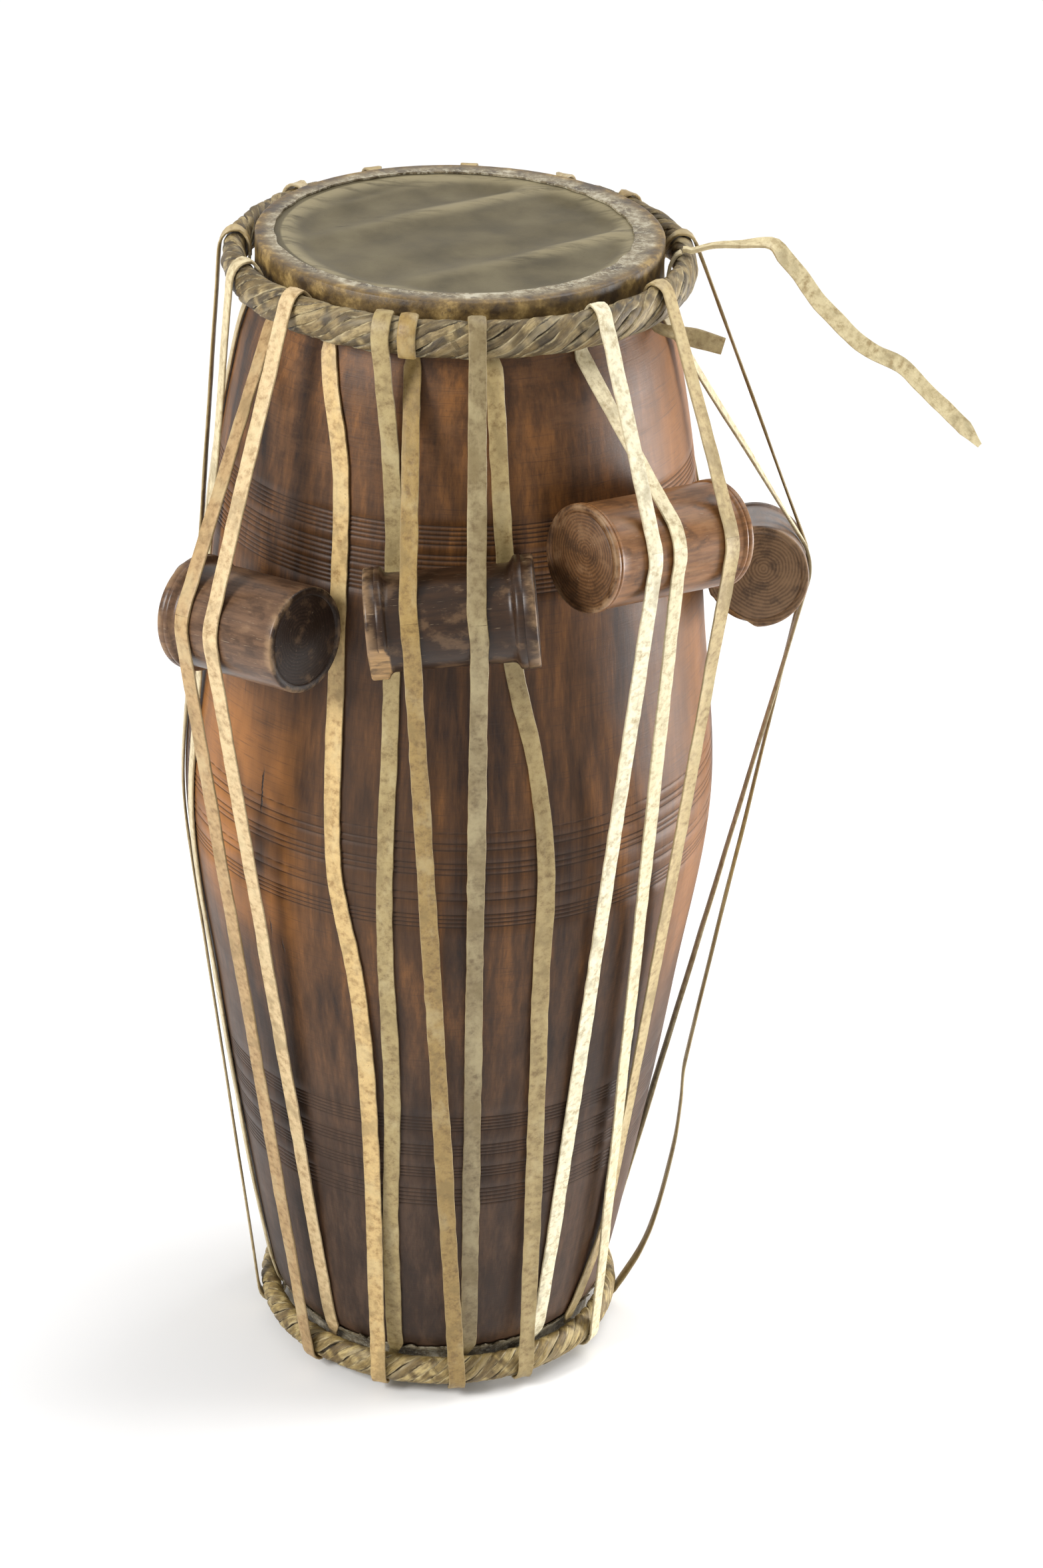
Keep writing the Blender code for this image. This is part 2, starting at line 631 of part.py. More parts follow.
def run_ends(number):
    """The two end points of a run, at the bass hoop and at the treble hoop."""
    top_angle, bottom_angle = RUNS[number]
    top_anchor = inner_anchor if number % 2 else outer_anchor
    bottom_anchor = inner_anchor if behind_treble_hoop(number) else outer_anchor
    return top_anchor(BASS_HOOP, top_angle), bottom_anchor(TREBLE_HOOP, bottom_angle)


def plain_run(number, top, bottom):
    """Points of a run that lies on the shell, pressed down where a block crosses it."""
    top_angle, bottom_angle = RUNS[number]
    marks = [(bottom.z, radians(bottom_angle))]
    marks += [(height, radians(angle)) for height, angle in WAYPOINTS.get(number, ())][::-1]
    marks.append((top.z, radians(top_angle)))

    def angle_at(height):
        return smooth_through(marks, height)

    if number not in UNDER_BLOCK:
        points = taut_stretch(top, bottom, angle_at)
    else:
        pressed = BLOCK_BY_NAME[UNDER_BLOCK[number]]
        reach = max(rim[0] for rim in pressed.rims) + 0.006
        heights = [pressed.height + reach, pressed.height, pressed.height - reach]
        held = [polar(seat_radius(height) + STRAP_OFFSET, angle_at(height), height)
                for height in heights]
        points = taut_stretch(top, held[0], angle_at) + held + taut_stretch(held[-1], bottom, angle_at)
    return [Station(point, sideways(at_angle(point))) for point in points]


def block_run(number, top, bottom):
    """Stations of a run that passes over a block."""
    block_name, offset = OVER_BLOCK[number]
    crossed = BLOCK_BY_NAME[block_name]
    slack = [polar(seat_radius(height) + STRAP_OFFSET + stand_off, radians(angle), height)
             for height, angle, stand_off in SLACK_POINTS.get(number, ())]
    way_down = slack + [bottom]
    turn = crossed.strap_turn(offset, top, way_down[0])
    stations = [Station(point, sideways(at_angle(point))) for point in taut_stretch(top, turn[0])]
    stations += [Station(point, crossed.along) for point in turn]
    rest = []
    for upper, lower in zip([turn[-1]] + slack, way_down):
        rest += taut_stretch(upper, lower) + [lower]
    stations += [Station(point, sideways(at_angle(point))) for point in rest[:-1]]
    return stations


def run_stations(number):
    """Stations of a run between its hoops, from the bass end down."""
    top, bottom = run_ends(number)
    if number in OVER_BLOCK:
        return block_run(number, top, bottom)
    return plain_run(number, top, bottom)


def next_down(number):
    """First station of a run below the bass hoop."""
    return run_stations(number)[0].middle


def bass_turn(out_run, in_run):
    """Stations over the bass hoop, from the outer side of one run to behind the next."""
    out_angle, in_angle = RUNS[out_run][0], RUNS[in_run][0]
    turn = leave_turn(BASS_HOOP, outer_anchor(BASS_HOOP, out_angle), next_down(out_run))
    return hoop_turn(BASS_HOOP, out_angle, in_angle, turn)


def treble_turn(number, following):
    """Stations under the treble hoop, from one run to the next."""
    if behind_treble_hoop(number):
        return treble_turn(following, number)[::-1]
    out_angle, in_angle = RUNS[number][1], RUNS[following][1]
    outermost = outer_anchor(TREBLE_HOOP, out_angle)
    turn = leave_turn(TREBLE_HOOP, outermost, run_stations(number)[-1].middle)
    return hoop_turn(TREBLE_HOOP, out_angle, in_angle, turn)


def lace_stations(numbers):
    """Stations of a lace along consecutive runs, the first one down."""
    stations = []
    for number, following in zip(numbers, numbers[1:] + (None,)):
        run = run_stations(number)
        going_down = number % 2 == 1
        stations += run if going_down else run[::-1]
        if following is not None:
            stations += (treble_turn if going_down else bass_turn)(number, following)
    return stations


def make_front_lace():
    first, last = FRONT_LACE_RUNS[0], FRONT_LACE_RUNS[-1]
    start_angle = RUNS[first][0]
    start = hoop_turn(BASS_HOOP, start_angle, start_angle, -CUT_END_REACH)
    last_angle = RUNS[last][0]
    turn = leave_turn(BASS_HOOP, outer_anchor(BASS_HOOP, last_angle), next_down(last))
    finish = hoop_turn(BASS_HOOP, last_angle, STUB_ANGLE, turn)
    stub_end = Vector(STUB_END)
    stub_root = finish[-1].middle + polar(STRAP_THICKNESS / 2, radians(STUB_ANGLE), 0.0)
    finish[-1].middle = stub_root
    upright = Vector((0.0, 0.0, 1.0))
    for share in (0.30, 0.65, 1.0):
        across = finish[-1].across.lerp(upright, share)
        finish.append(Station(stub_root.lerp(stub_end, share), across))
    make_strap("front_lace", start + lace_stations(FRONT_LACE_RUNS) + finish)


def make_long_lace():
    first, last = LONG_LACE_RUNS[0], LONG_LACE_RUNS[-1]
    start = hoop_turn(BASS_HOOP, TAIL_ANGLE, RUNS[first][0], 72)[2:]
    last_angle = RUNS[last][0]
    finish = hoop_turn(BASS_HOOP, last_angle, last_angle)[:-3]
    make_strap("long_lace", start + lace_stations(LONG_LACE_RUNS) + finish)


make_front_lace()
make_long_lace()


# Loose tail: the stiff dried end of the long lace, standing away from the bass hoop
def make_tail():
    lift = Vector((0.0, 0.0, TAIL_THICKNESS - STRAP_THICKNESS)) / 2
    root = [BASS_HOOP.strap_point(TAIL_ANGLE, turn) + lift for turn in (100, 90, 70)]
    points = root + [Vector(point) for point in TAIL_ROUTE]
    level = sideways(radians(TAIL_ANGLE))
    facing = Vector(TAIL_FACING)
    stations = []
    for i, point in enumerate(points):
        ahead = points[min(i + 1, len(points) - 1)] - points[max(i - 1, 0)]
        twist = min(max((i - len(root)) / TAIL_TWIST_POINTS, 0.0), 1.0)
        across = level.lerp(facing.cross(ahead).normalized(), twist)
        width = SLOT_WIDTH + (TAIL_WIDTH - SLOT_WIDTH) * twist
        stations.append(Station(point, across, width, TAIL_THICKNESS))
    stations[-1].width = TAIL_WIDTH / 3
    make_strap("lace_tail", stations)


make_tail()
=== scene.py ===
from math import acos, atan, atan2, cos, degrees, exp, hypot, pi, radians, sin

import bmesh
import bpy
from mathutils import Matrix, Vector, noise


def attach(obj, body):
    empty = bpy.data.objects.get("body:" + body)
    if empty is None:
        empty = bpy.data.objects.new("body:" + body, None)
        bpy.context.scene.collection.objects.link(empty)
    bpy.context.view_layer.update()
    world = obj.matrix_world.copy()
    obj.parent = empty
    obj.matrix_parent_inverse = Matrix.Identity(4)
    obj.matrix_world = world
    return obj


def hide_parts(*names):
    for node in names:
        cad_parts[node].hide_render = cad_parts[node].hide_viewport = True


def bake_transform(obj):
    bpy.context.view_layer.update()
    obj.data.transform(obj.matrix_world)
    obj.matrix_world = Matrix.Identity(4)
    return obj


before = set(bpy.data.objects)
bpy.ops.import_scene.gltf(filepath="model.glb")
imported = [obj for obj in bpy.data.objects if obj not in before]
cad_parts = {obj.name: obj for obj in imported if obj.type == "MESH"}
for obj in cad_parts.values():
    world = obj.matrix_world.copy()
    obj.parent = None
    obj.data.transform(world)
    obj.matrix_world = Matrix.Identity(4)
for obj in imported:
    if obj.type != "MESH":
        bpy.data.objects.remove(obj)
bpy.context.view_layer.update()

# Camera: stands in front of the drum and looks down at it, as the photograph was taken.
eye = Vector((0.0, -1.98848, 1.36204))
yaw, pitch, roll = radians(1.153), radians(27.182), radians(1.74)
ahead = Vector((sin(yaw) * cos(pitch), cos(yaw) * cos(pitch), -sin(pitch)))
level_right = Vector((cos(yaw), -sin(yaw), 0.0))
level_up = level_right.cross(ahead)
camera_right = level_right * cos(roll) + level_up * sin(roll)
camera_up = level_up * cos(roll) - level_right * sin(roll)
camera_data = bpy.data.cameras.new("camera")
camera_data.lens = 93.3
camera_data.sensor_width = 36.0
camera_data.sensor_fit = "AUTO"
camera = bpy.data.objects.new("camera", camera_data)
camera_axes = Matrix((camera_right, camera_up, -ahead)).transposed()
camera.matrix_world = Matrix.Translation(eye) @ camera_axes.to_4x4()
bpy.context.collection.objects.link(camera)
bpy.context.scene.camera = camera
bpy.context.scene.view_settings.view_transform = "Standard"


# Loose tail: the stiff dried end of the long lace, a strip cut from scraped hide. It stands away
# from the upper hoop as it was left, and it curled lengthwise while it dried.
HEIGHT = 0.660
GAP = 0.0003
STRAP_WIDTH = 0.0092
STRAP_THICKNESS = 0.0015
STRAP_OFFSET = 0.0004 + STRAP_THICKNESS / 2
SLOT_WIDTH = 0.0052
TAIL_WIDTH = 0.0088
TAIL_THICKNESS = 0.0022
TAIL_FACING = (-0.10, -0.84, 0.53)
TAIL_TWIST_POINTS = 4
TAIL_ANGLE = 84.0
TAIL_ROUTE = (
    (0.1290, -0.0122, 0.6588), (0.1450, -0.0122, 0.6600), (0.1560, -0.0120, 0.6610),
    (0.1612, -0.0120, 0.6600), (0.1655, -0.0120, 0.6550), (0.1720, -0.0115, 0.6475),
    (0.1790, -0.0112, 0.6385), (0.1860, -0.0110, 0.6290), (0.1950, -0.0110, 0.6200),
    (0.2080, -0.0110, 0.6075), (0.2190, -0.0110, 0.6010), (0.2300, -0.0110, 0.5960),
    (0.2420, -0.0110, 0.5845), (0.2540, -0.0110, 0.5730), (0.2660, -0.0110, 0.5615),
    (0.2745, -0.0110, 0.5520),
)
RIBBON_SPACING = 0.0035
RIBBON_SECTION = (
    (-0.50, 0.00), (-0.47, 0.38), (-0.38, 0.50), (-0.19, 0.50), (0.00, 0.50), (0.19, 0.50),
    (0.38, 0.50), (0.47, 0.38), (0.50, 0.00), (0.47, -0.38), (0.38, -0.50), (0.00, -0.50),
    (-0.38, -0.50), (-0.47, -0.38),
)


class Value:
    """A shader socket with maths on it, and one method that adds any other node."""

    tree = None

    def __init__(self, socket):
        self.socket = socket

    @classmethod
    def node(cls, kind, settings=None, inputs=None, output=0):
        made = cls.tree.nodes.new(kind)
        for name, setting in (settings or {}).items():
            if name == "stops":
                ramp = made.color_ramp
                while len(ramp.elements) < len(setting):
                    ramp.elements.new(0.5)
                for element, (place, colour) in zip(ramp.elements, setting):
                    element.position = place
                    element.color = (*colour, 1.0)
            else:
                setattr(made, name, setting)
        for name, given in (inputs or {}).items():
            target = made.inputs[name]
            if isinstance(given, Value):
                cls.tree.links.new(given.socket, target)
            else:
                target.default_value = given
        return cls(made.outputs[output])

    def maths(self, operation, other, swapped=False):
        pair = (other, self) if swapped else (self, other)
        return Value.node("ShaderNodeMath", {"operation": operation}, {0: pair[0], 1: pair[1]})

    def __add__(self, other):
        return self.maths("ADD", other)

    __radd__ = __add__

    def __mul__(self, other):
        return self.maths("MULTIPLY", other)

    __rmul__ = __mul__

    def __sub__(self, other):
        return self.maths("SUBTRACT", other)

    def __rsub__(self, other):
        return self.maths("SUBTRACT", other, swapped=True)

    def __truediv__(self, other):
        return self.maths("DIVIDE", other)

    def step(self, start, end):
        """0 below start, 1 above end, smooth between."""
        return Value.node("ShaderNodeMapRange", {"interpolation_type": "SMOOTHSTEP"},
                          {"Value": self, "From Min": start, "From Max": end})


def new_material(name):
    made = bpy.data.materials.new(name)
    made.use_nodes = True
    Value.tree = made.node_tree
    return made, made.node_tree.nodes["Principled BSDF"]


def feed(shader, name, value):
    Value.tree.links.new(value.socket, shader.inputs[name])


def attribute(name, output):
    return Value.node("ShaderNodeAttribute", {"attribute_name": name}, output=output)


def grain(place, stretch, detail=5.0, roughness=0.6):
    """Noise on a place, finer along the axes that are stretched more."""
    moved = Value.node("ShaderNodeMapping", {}, {"Vector": place, "Scale": stretch})
    return Value.node("ShaderNodeTexNoise", {},
                      {"Vector": moved, "Scale": 1.0, "Detail": detail, "Roughness": roughness})


def mix(share, first, second, blend="MIX"):
    """Mix two colours, each a socket or three numbers."""
    pair = [given if isinstance(given, Value) else (*given, 1.0) for given in (first, second)]
    return Value.node("ShaderNodeMix", {"data_type": "RGBA", "blend_type": blend},
                      {0: share, 6: pair[0], 7: pair[1]}, 2)


def ramp(value, *stops):
    return Value.node("ShaderNodeValToRGB", {"stops": stops}, {"Fac": value})


def bump(height, strength, distance):
    return Value.node("ShaderNodeBump", {},
                      {"Strength": strength, "Distance": distance, "Height": height})


def split(vector):
    """The three parts of a vector."""
    return [Value.node("ShaderNodeSeparateXYZ", {}, {0: vector}, output) for output in range(3)]


def rawhide(name):
    """Scraped hide: its own tone, grey-brown specks, streaks along it, and darker cut edges."""
    made, shader = new_material(name)
    place = attribute("local", "Vector")
    tone = attribute("tone", "Color")
    mottle = grain(place, (2.3, 250.0, 3.0), 6.0, 0.68)
    clouds = grain(place, (0.6, 40.0, 2.0), 4.0, 0.6)
    specks = grain(place, (15.0, 1500.0, 5.0), 3.0, 0.6)
    fibres = grain(place, (10.0, 45.0, 4.0), 4.0, 0.6)
    edge = split(place)[0].maths("ABSOLUTE", 0.0).step(0.44, 0.50)
    shade = ramp(mottle, (0.34, (0.58, 0.50, 0.38)), (0.50, (1.0, 0.98, 0.94)), (0.66, (1.22, 1.24, 1.24)))
    colour = mix(1.0, tone, shade, "MULTIPLY")
    colour = mix(clouds.step(0.50, 0.68) * 0.5, colour, mix(0.5, tone, (0.60, 0.51, 0.28)))
    colour = mix((1.0 - clouds.step(0.34, 0.48)) * 0.7, colour, mix(0.55, tone, (0.15, 0.10, 0.03)))
    colour = mix(mottle.step(0.58, 0.70) * specks.step(0.50, 0.62) * 0.6, colour, (0.19, 0.115, 0.045))
    colour = mix(fibres.step(0.60, 0.72) * 0.35, colour, (0.30, 0.22, 0.11))
    colour = mix(edge * 0.65, colour, (0.300, 0.225, 0.110))
    feed(shader, "Base Color", colour)
    feed(shader, "Roughness", 0.64 - clouds * 0.30)
    feed(shader, "Normal", bump(mottle + specks * 0.3, 0.5, 0.0004))
    return made


def polar(radius, angle, height):
    """A point round the drum, its angle in radians from the front towards +X."""
    return Vector((radius * sin(angle), -radius * cos(angle), height))


def sideways(angle):
    """The level direction round the drum at an angle."""
    return Vector((cos(angle), sin(angle), 0.0))


class Station:
    """A cross-section of a strip: its middle, the direction of its width, and its sizes."""

    def __init__(self, middle, across, width=STRAP_WIDTH, thickness=STRAP_THICKNESS):
        self.middle = middle
        self.across = across
        self.width = width
        self.thickness = thickness


def refined(stations):
    """Stations close together on a smooth curve through the given ones, and where those are."""
    last = len(stations) - 1
    fine = []
    marks = []

    def heading(i):
        return (stations[min(i + 1, last)].middle - stations[max(i - 1, 0)].middle).normalized()

    for i in range(last):
        here, there = stations[i], stations[i + 1]
        span = (there.middle - here.middle).length
        steps = max(1, round(span / RIBBON_SPACING))
        marks.append(len(fine))
        for step in range(steps):
            t = step / steps
            middle = (here.middle * (1 + 2 * t) * (1 - t) ** 2
                      + there.middle * t * t * (3 - 2 * t)
                      + heading(i) * span * t * (1 - t) ** 2
                      - heading(i + 1) * span * t * t * (1 - t))
            fine.append(Station(middle, here.across.lerp(there.across, t),
                                here.width + (there.width - here.width) * t,
                                here.thickness + (there.thickness - here.thickness) * t))
    marks.append(len(fine))
    fine.append(stations[last])
    return fine, marks


def add_piece(name, built, surface, body="drum"):
    """Turn a bmesh into a piece, attached to its body unless it has none."""
    bmesh.ops.recalc_face_normals(built, faces=built.faces)
    mesh = bpy.data.meshes.new(name)
    built.to_mesh(mesh)
    built.free()
    mesh.shade_smooth()
    mesh.set_sharp_from_angle(angle=radians(50))
    mesh.materials.append(surface)
    made = bpy.data.objects.new(name, mesh)
    bpy.context.collection.objects.link(made)
    if body:
        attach(made, body)
    return made


def build_ribbon(built, stations, tone, seed, curl, start=0.0):
    """A strip through its stations, with edges cut by hand. curl lifts its left and right edge."""
    place = built.verts.layers.float_vector.get("local")
    shade = built.verts.layers.float_color.get("tone")
    if place is None:
        place = built.verts.layers.float_vector.new("local")
        shade = built.verts.layers.float_color.new("tone")
    rings = []
    travelled = start
    for i, station in enumerate(stations):
        before = stations[max(i - 1, 0)].middle
        after = stations[min(i + 1, len(stations) - 1)].middle
        forward = (after - before).normalized()
        if i:
            travelled += (station.middle - before).length
        across = (station.across - forward * station.across.dot(forward)).normalized()
        out = forward.cross(across)
        spread = station.width * (1 + 0.10 * noise.noise(Vector((travelled * 16, seed, 0.3))))
        ragged = [0.0004 * noise.noise(Vector((travelled * 110, seed, side))) for side in (4.1, 9.3)]
        swell = 0.25 * noise.noise(Vector((travelled * 45, seed, 20.7)))
        lifts = [max(0.0, edge + 0.0007 * noise.noise(Vector((travelled * 20, seed, 33.0 + edge))))
                 for edge in curl]
        ring = []
        for u, v in RIBBON_SECTION:
            side = 1 if u > 0 else 0
            sideways_by = u * spread + ragged[side] * 2 * u
            outwards_by = v * station.thickness * (1 + max(swell, 0.0)) + lifts[side] * (2 * u) ** 4
            vert = built.verts.new(station.middle + across * sideways_by + out * outwards_by)
            vert[place] = Vector((u, travelled, seed))
            vert[shade] = (*tone, 1.0)
            ring.append(vert)
        rings.append(ring)
    count = len(RIBBON_SECTION)
    for ring, following in zip(rings, rings[1:]):
        for side in range(count):
            built.faces.new((ring[side], ring[side - 1], following[side - 1], following[side]))
    built.faces.new(rings[0])
    built.faces.new(rings[-1])


class Hoop:
    """The middle line and section of a hoop. side is +1 where straps loop over its top."""

    def __init__(self, radius, half_width, half_height, height, side):
        self.radius = radius
        self.half_width = half_width
        self.half_height = half_height
        self.height = height
        self.side = side

    def strap_point(self, angle, turn):
        """Middle of a strap that hugs the hoop, turn degrees from its outermost line."""
        radius = self.radius + (self.half_width + STRAP_OFFSET) * cos(radians(turn))
        rise = (self.half_height + STRAP_OFFSET) * sin(radians(turn))
        return polar(radius, radians(angle), self.height + self.side * rise)

    def inner_limit(self, height):
        """Radius of the hoop's inner side at a height within it."""
        share = min(abs(height - self.height) / self.half_height, 1.0)
        return self.radius - self.half_width * (1 - share * share) ** 0.5


BASS_HOOP = Hoop(0.1163, 0.0070, 0.0105, HEIGHT - 0.0155, 1)
TREBLE_HOOP = Hoop(0.0980, 0.0062, 0.0092, 0.0177, -1)
LACE_RAWHIDE = rawhide("lace_rawhide")


def make_tail():
    lift = Vector((0.0, 0.0, TAIL_THICKNESS - STRAP_THICKNESS)) / 2
    root = [BASS_HOOP.strap_point(TAIL_ANGLE, turn) + lift for turn in (100, 90, 70)]
    points = root + [Vector(point) for point in TAIL_ROUTE]
    level = sideways(radians(TAIL_ANGLE))
    facing = Vector(TAIL_FACING)
    stations = []
    for i, point in enumerate(points):
        onwards = points[min(i + 1, len(points) - 1)] - points[max(i - 1, 0)]
        twist = min(max((i - len(root)) / TAIL_TWIST_POINTS, 0.0), 1.0)
        across = level.lerp(facing.cross(onwards).normalized(), twist)
        width = SLOT_WIDTH + (TAIL_WIDTH - SLOT_WIDTH) * twist
        stations.append(Station(point, across, width, TAIL_THICKNESS))
    stations[-1].width = TAIL_WIDTH / 3
    fine, _ = refined(stations)
    built = bmesh.new()
    build_ribbon(built, fine, (0.58, 0.49, 0.29), 1.9, (0.0009, 0.0006))
    tail = add_piece("tail_strip", built, LACE_RAWHIDE)
    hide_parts("lace_tail")
    length = sum((b.middle - a.middle).length for a, b in zip(fine, fine[1:]))


make_tail()


# Shell: one log of hardwood, turned and hollowed, stained reddish brown. Bands of fine grooves
# were cut on the lathe, two of them dotted, and dry wood has opened cracks at the left.
WRAP_THICKNESS = GAP + 0.0008 + GAP + 0.0010
TREBLE_RIM = 0.0027
BASS_RIM = HEIGHT - 0.0035
SHELL_OUTLINE = (
    (TREBLE_RIM, 0.0845), (0.0225, 0.0870), (0.0290, 0.0910), (0.0370, 0.0970), (0.150, 0.1172),
    (0.235, 0.1298), (0.345, 0.1441), (0.450, 0.1353), (HEIGHT - 0.125, 0.1266),
    (HEIGHT - 0.053, 0.1137), (HEIGHT - 0.034, 0.1075), (HEIGHT - 0.023, 0.1037),
    (BASS_RIM, 0.1033),
)
BORE_OUTLINE = ((TREBLE_RIM, 0.0715), (0.345, 0.1220), (BASS_RIM, 0.0885))
SHELL_STEPS = 240
SHELL_RING_SPACING = 0.008
GROOVE_BANDS = (
    (0.5480, 5, 0.0095), (0.5330, 4, 0.0080), (0.5210, 5, 0.0095), (0.3783, 2, 0.0038),
    (0.3670, 3, 0.0064), (0.3455, 1, 0.0), (0.3367, 4, 0.0075), (0.2015, 5, 0.0090),
    (0.1820, 4, 0.0070), (0.1664, 4, 0.0066), (0.1508, 5, 0.0110),
)
DOTTED_GROOVES = (0.3840, 0.3500)
GROOVE_DEPTH = 0.0004
GROOVE_HALF_WIDTH = 0.0006
# Cracks: angle, lowest and highest height
CRACKS = ((-43.0, 0.372, 0.402), (-41.0, 0.300, 0.315), (-38.0, 0.292, 0.304))


def smooth_through(outline, height):
    """The value of a smooth curve through (height, value) points."""
    heights = [point[0] for point in outline]
    values = [point[1] for point in outline]
    height = min(max(height, heights[0]), heights[-1])
    span = max(i for i in range(len(outline) - 1) if heights[i] <= height)

    def slope(i):
        low, high = max(i - 1, 0), min(i + 1, len(outline) - 1)
        return (values[high] - values[low]) / (heights[high] - heights[low])

    length = heights[span + 1] - heights[span]
    t = (height - heights[span]) / length
    return (values[span] * (1 + 2 * t) * (1 - t) ** 2
            + values[span + 1] * t * t * (3 - 2 * t)
            + length * slope(span) * t * (1 - t) ** 2
            - length * slope(span + 1) * t * t * (1 - t))


def shell_radius(height):
    return smooth_through(SHELL_OUTLINE, height)


def spin_outline(outline, steps):
    """Spin an outline of (radius, height) points about Z. One that leaves the axis is closed."""
    built = bmesh.new()
    points = [built.verts.new((radius, 0.0, height)) for radius, height in outline]
    edges = [built.edges.new(pair) for pair in zip(points, points[1:])]
    if outline[0][0] > 0:
        edges.append(built.edges.new((points[-1], points[0])))
    bmesh.ops.spin(built, geom=points + edges, cent=(0, 0, 0), axis=(0, 0, 1), angle=2 * pi,
                   steps=steps, use_merge=True)
    bmesh.ops.remove_doubles(built, verts=built.verts, dist=1e-6)
    return built


def groove_heights():
    """Middle height of every groove, and whether it is dotted."""
    heights = [(height, True) for height in DOTTED_GROOVES]
    for top, lines, span in GROOVE_BANDS:
        heights += [(top - span * i / max(lines - 1, 1), False) for i in range(lines)]
    return heights


def shell_wood():
    """Stained hardwood: grain down the log, lathe marks round it, painted shade in the grooves and at the
    front, painted highlights on its sides and painted light over its top.
    """
    made, shader = new_material("shell_wood")
    place = Value.node("ShaderNodeTexCoord", output="Object")
    x, y, height = split(place)
    angle = x.maths("ARCTAN2", y * -1.0) * (180 / pi)
    fibres = grain(place, (230.0, 230.0, 9.0), 6.0, 0.7)
    figure = grain(place, (75.0, 75.0, 6.0), 6.0, 0.72)
    clouds = grain(place, (11.0, 11.0, 6.0), 4.0, 0.6)
    lathe = grain(place, (34.0, 34.0, 1100.0), 4.0, 0.7)
    wear_and_top_light = grain(place, (26.0, 26.0, 70.0), 6.0, 0.75)
    mixed = figure * 0.36 + clouds * 0.36 + fibres * 0.28
    colour = ramp(mixed, (0.41, (0.022, 0.009, 0.004)), (0.47, (0.054, 0.023, 0.008)),
                  (0.53, (0.098, 0.041, 0.013)), (0.60, (0.200, 0.082, 0.022)))
    # Painted highlights: brighter orange on the left of the belly and on the right side, where the lamps
    # light the shell.
    left = angle.step(-78.0, -55.0) * (1.0 - angle.step(-40.0, -28.0))
    belly = height.step(0.28, 0.33) * (1.0 - height.step(0.40, 0.46))
    right = angle.step(38.0, 66.0) * (1.0 - angle.step(84.0, 128.0))
    painted_side_highlight = left * belly * clouds.step(0.34, 0.55) + right * (0.30 + clouds.step(0.36, 0.58) * 0.35)
    # Painted shade at the front, left of the middle, over the belly.
    shaded = angle.step(-34.0, -22.0) * (1.0 - angle.step(-8.0, 6.0))
    colour = mix(shaded * belly * 0.45, colour, (0.030, 0.015, 0.007))
    colour = mix(painted_side_highlight * 0.8, colour, (0.38, 0.150, 0.034))
    low = (1.0 - height.step(0.17, 0.33)) * 0.82
    colour = mix(low, colour, mix(figure.step(0.40, 0.64), (0.024, 0.013, 0.008), (0.064, 0.037, 0.023)))
    # Painted light from above: lighter patches near the top of the shell.
    colour = mix(height.step(0.52, 0.60) * wear_and_top_light.step(0.44, 0.60) * 0.35, colour, (0.165, 0.078, 0.032))
    colour = mix(lathe.step(0.52, 0.70) * 0.5, colour, (0.040, 0.020, 0.012))
    colour = mix(fibres.step(0.62, 0.72) * 0.6, colour, (0.035, 0.017, 0.010))
    # Painted shade: darker colour in the grooves of the lathe bands.
    painted_groove_shade = attribute("groove", "Fac")
    colour = mix(painted_groove_shade * 0.75, colour, (0.030, 0.017, 0.010))
    crack = None
    for crack_angle, low_end, high_end in CRACKS:
        off = (angle - crack_angle + (wear_and_top_light - 0.5) * 2.0).maths("ABSOLUTE", 0.0)
        line = (1.0 - off.step(0.10, 0.28)) * height.step(low_end, low_end + 0.008)
        line = line * (1.0 - height.step(high_end - 0.008, high_end))
        crack = line if crack is None else crack + line
    colour = mix(crack, colour, (0.012, 0.007, 0.005))
    feed(shader, "Base Color", colour)
    shader.inputs["Specular IOR Level"].default_value = 0.25
    feed(shader, "Roughness", 0.34 + wear_and_top_light * 0.26 + painted_groove_shade * 0.2)
    feed(shader, "Normal", bump(fibres * 0.5 + lathe * 0.6 - crack * 2.0, 0.5, 0.0003))
    return made


def make_shell():
    grooves = groove_heights()
    count = round((BASS_RIM - TREBLE_RIM) / SHELL_RING_SPACING)
    heights = {round(TREBLE_RIM + (BASS_RIM - TREBLE_RIM) * i / count, 5) for i in range(count + 1)}
    near = {height for height in heights
            if any(abs(height - middle) < 1.6 * GROOVE_HALF_WIDTH for middle, _ in grooves)}
    heights -= near
    for middle, _ in grooves:
        heights |= {round(middle + offset * GROOVE_HALF_WIDTH, 5) for offset in (-1.0, -0.3, 0.3, 1.0)}
    outside = [(shell_radius(height), height) for height in sorted(heights)]
    bore_steps = 24
    inside = []
    for i in range(bore_steps + 1):
        height = BASS_RIM + (TREBLE_RIM - BASS_RIM) * i / bore_steps
        inside.append((smooth_through(BORE_OUTLINE, height), height))
    built = spin_outline(outside + inside, SHELL_STEPS)
    painted_groove_shade = built.verts.layers.float.new("groove")
    for vert in built.verts:
        radius = hypot(vert.co.x, vert.co.y)
        if radius < shell_radius(vert.co.z) - 0.002:
            continue
        for middle, dotted in grooves:
            if abs(vert.co.z - middle) < 0.5 * GROOVE_HALF_WIDTH:
                depth = 1.0
                if dotted:
                    step = round(atan2(vert.co.x, -vert.co.y) / (2 * pi) * SHELL_STEPS)
                    depth = 1.0 if step % 2 else 0.15
                vert[painted_groove_shade] = depth
                pull = 1 - GROOVE_DEPTH * depth / radius
                vert.co.x *= pull
                vert.co.y *= pull
    shell = add_piece("shell_turned", built, shell_wood())
    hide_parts("shell")


make_shell()


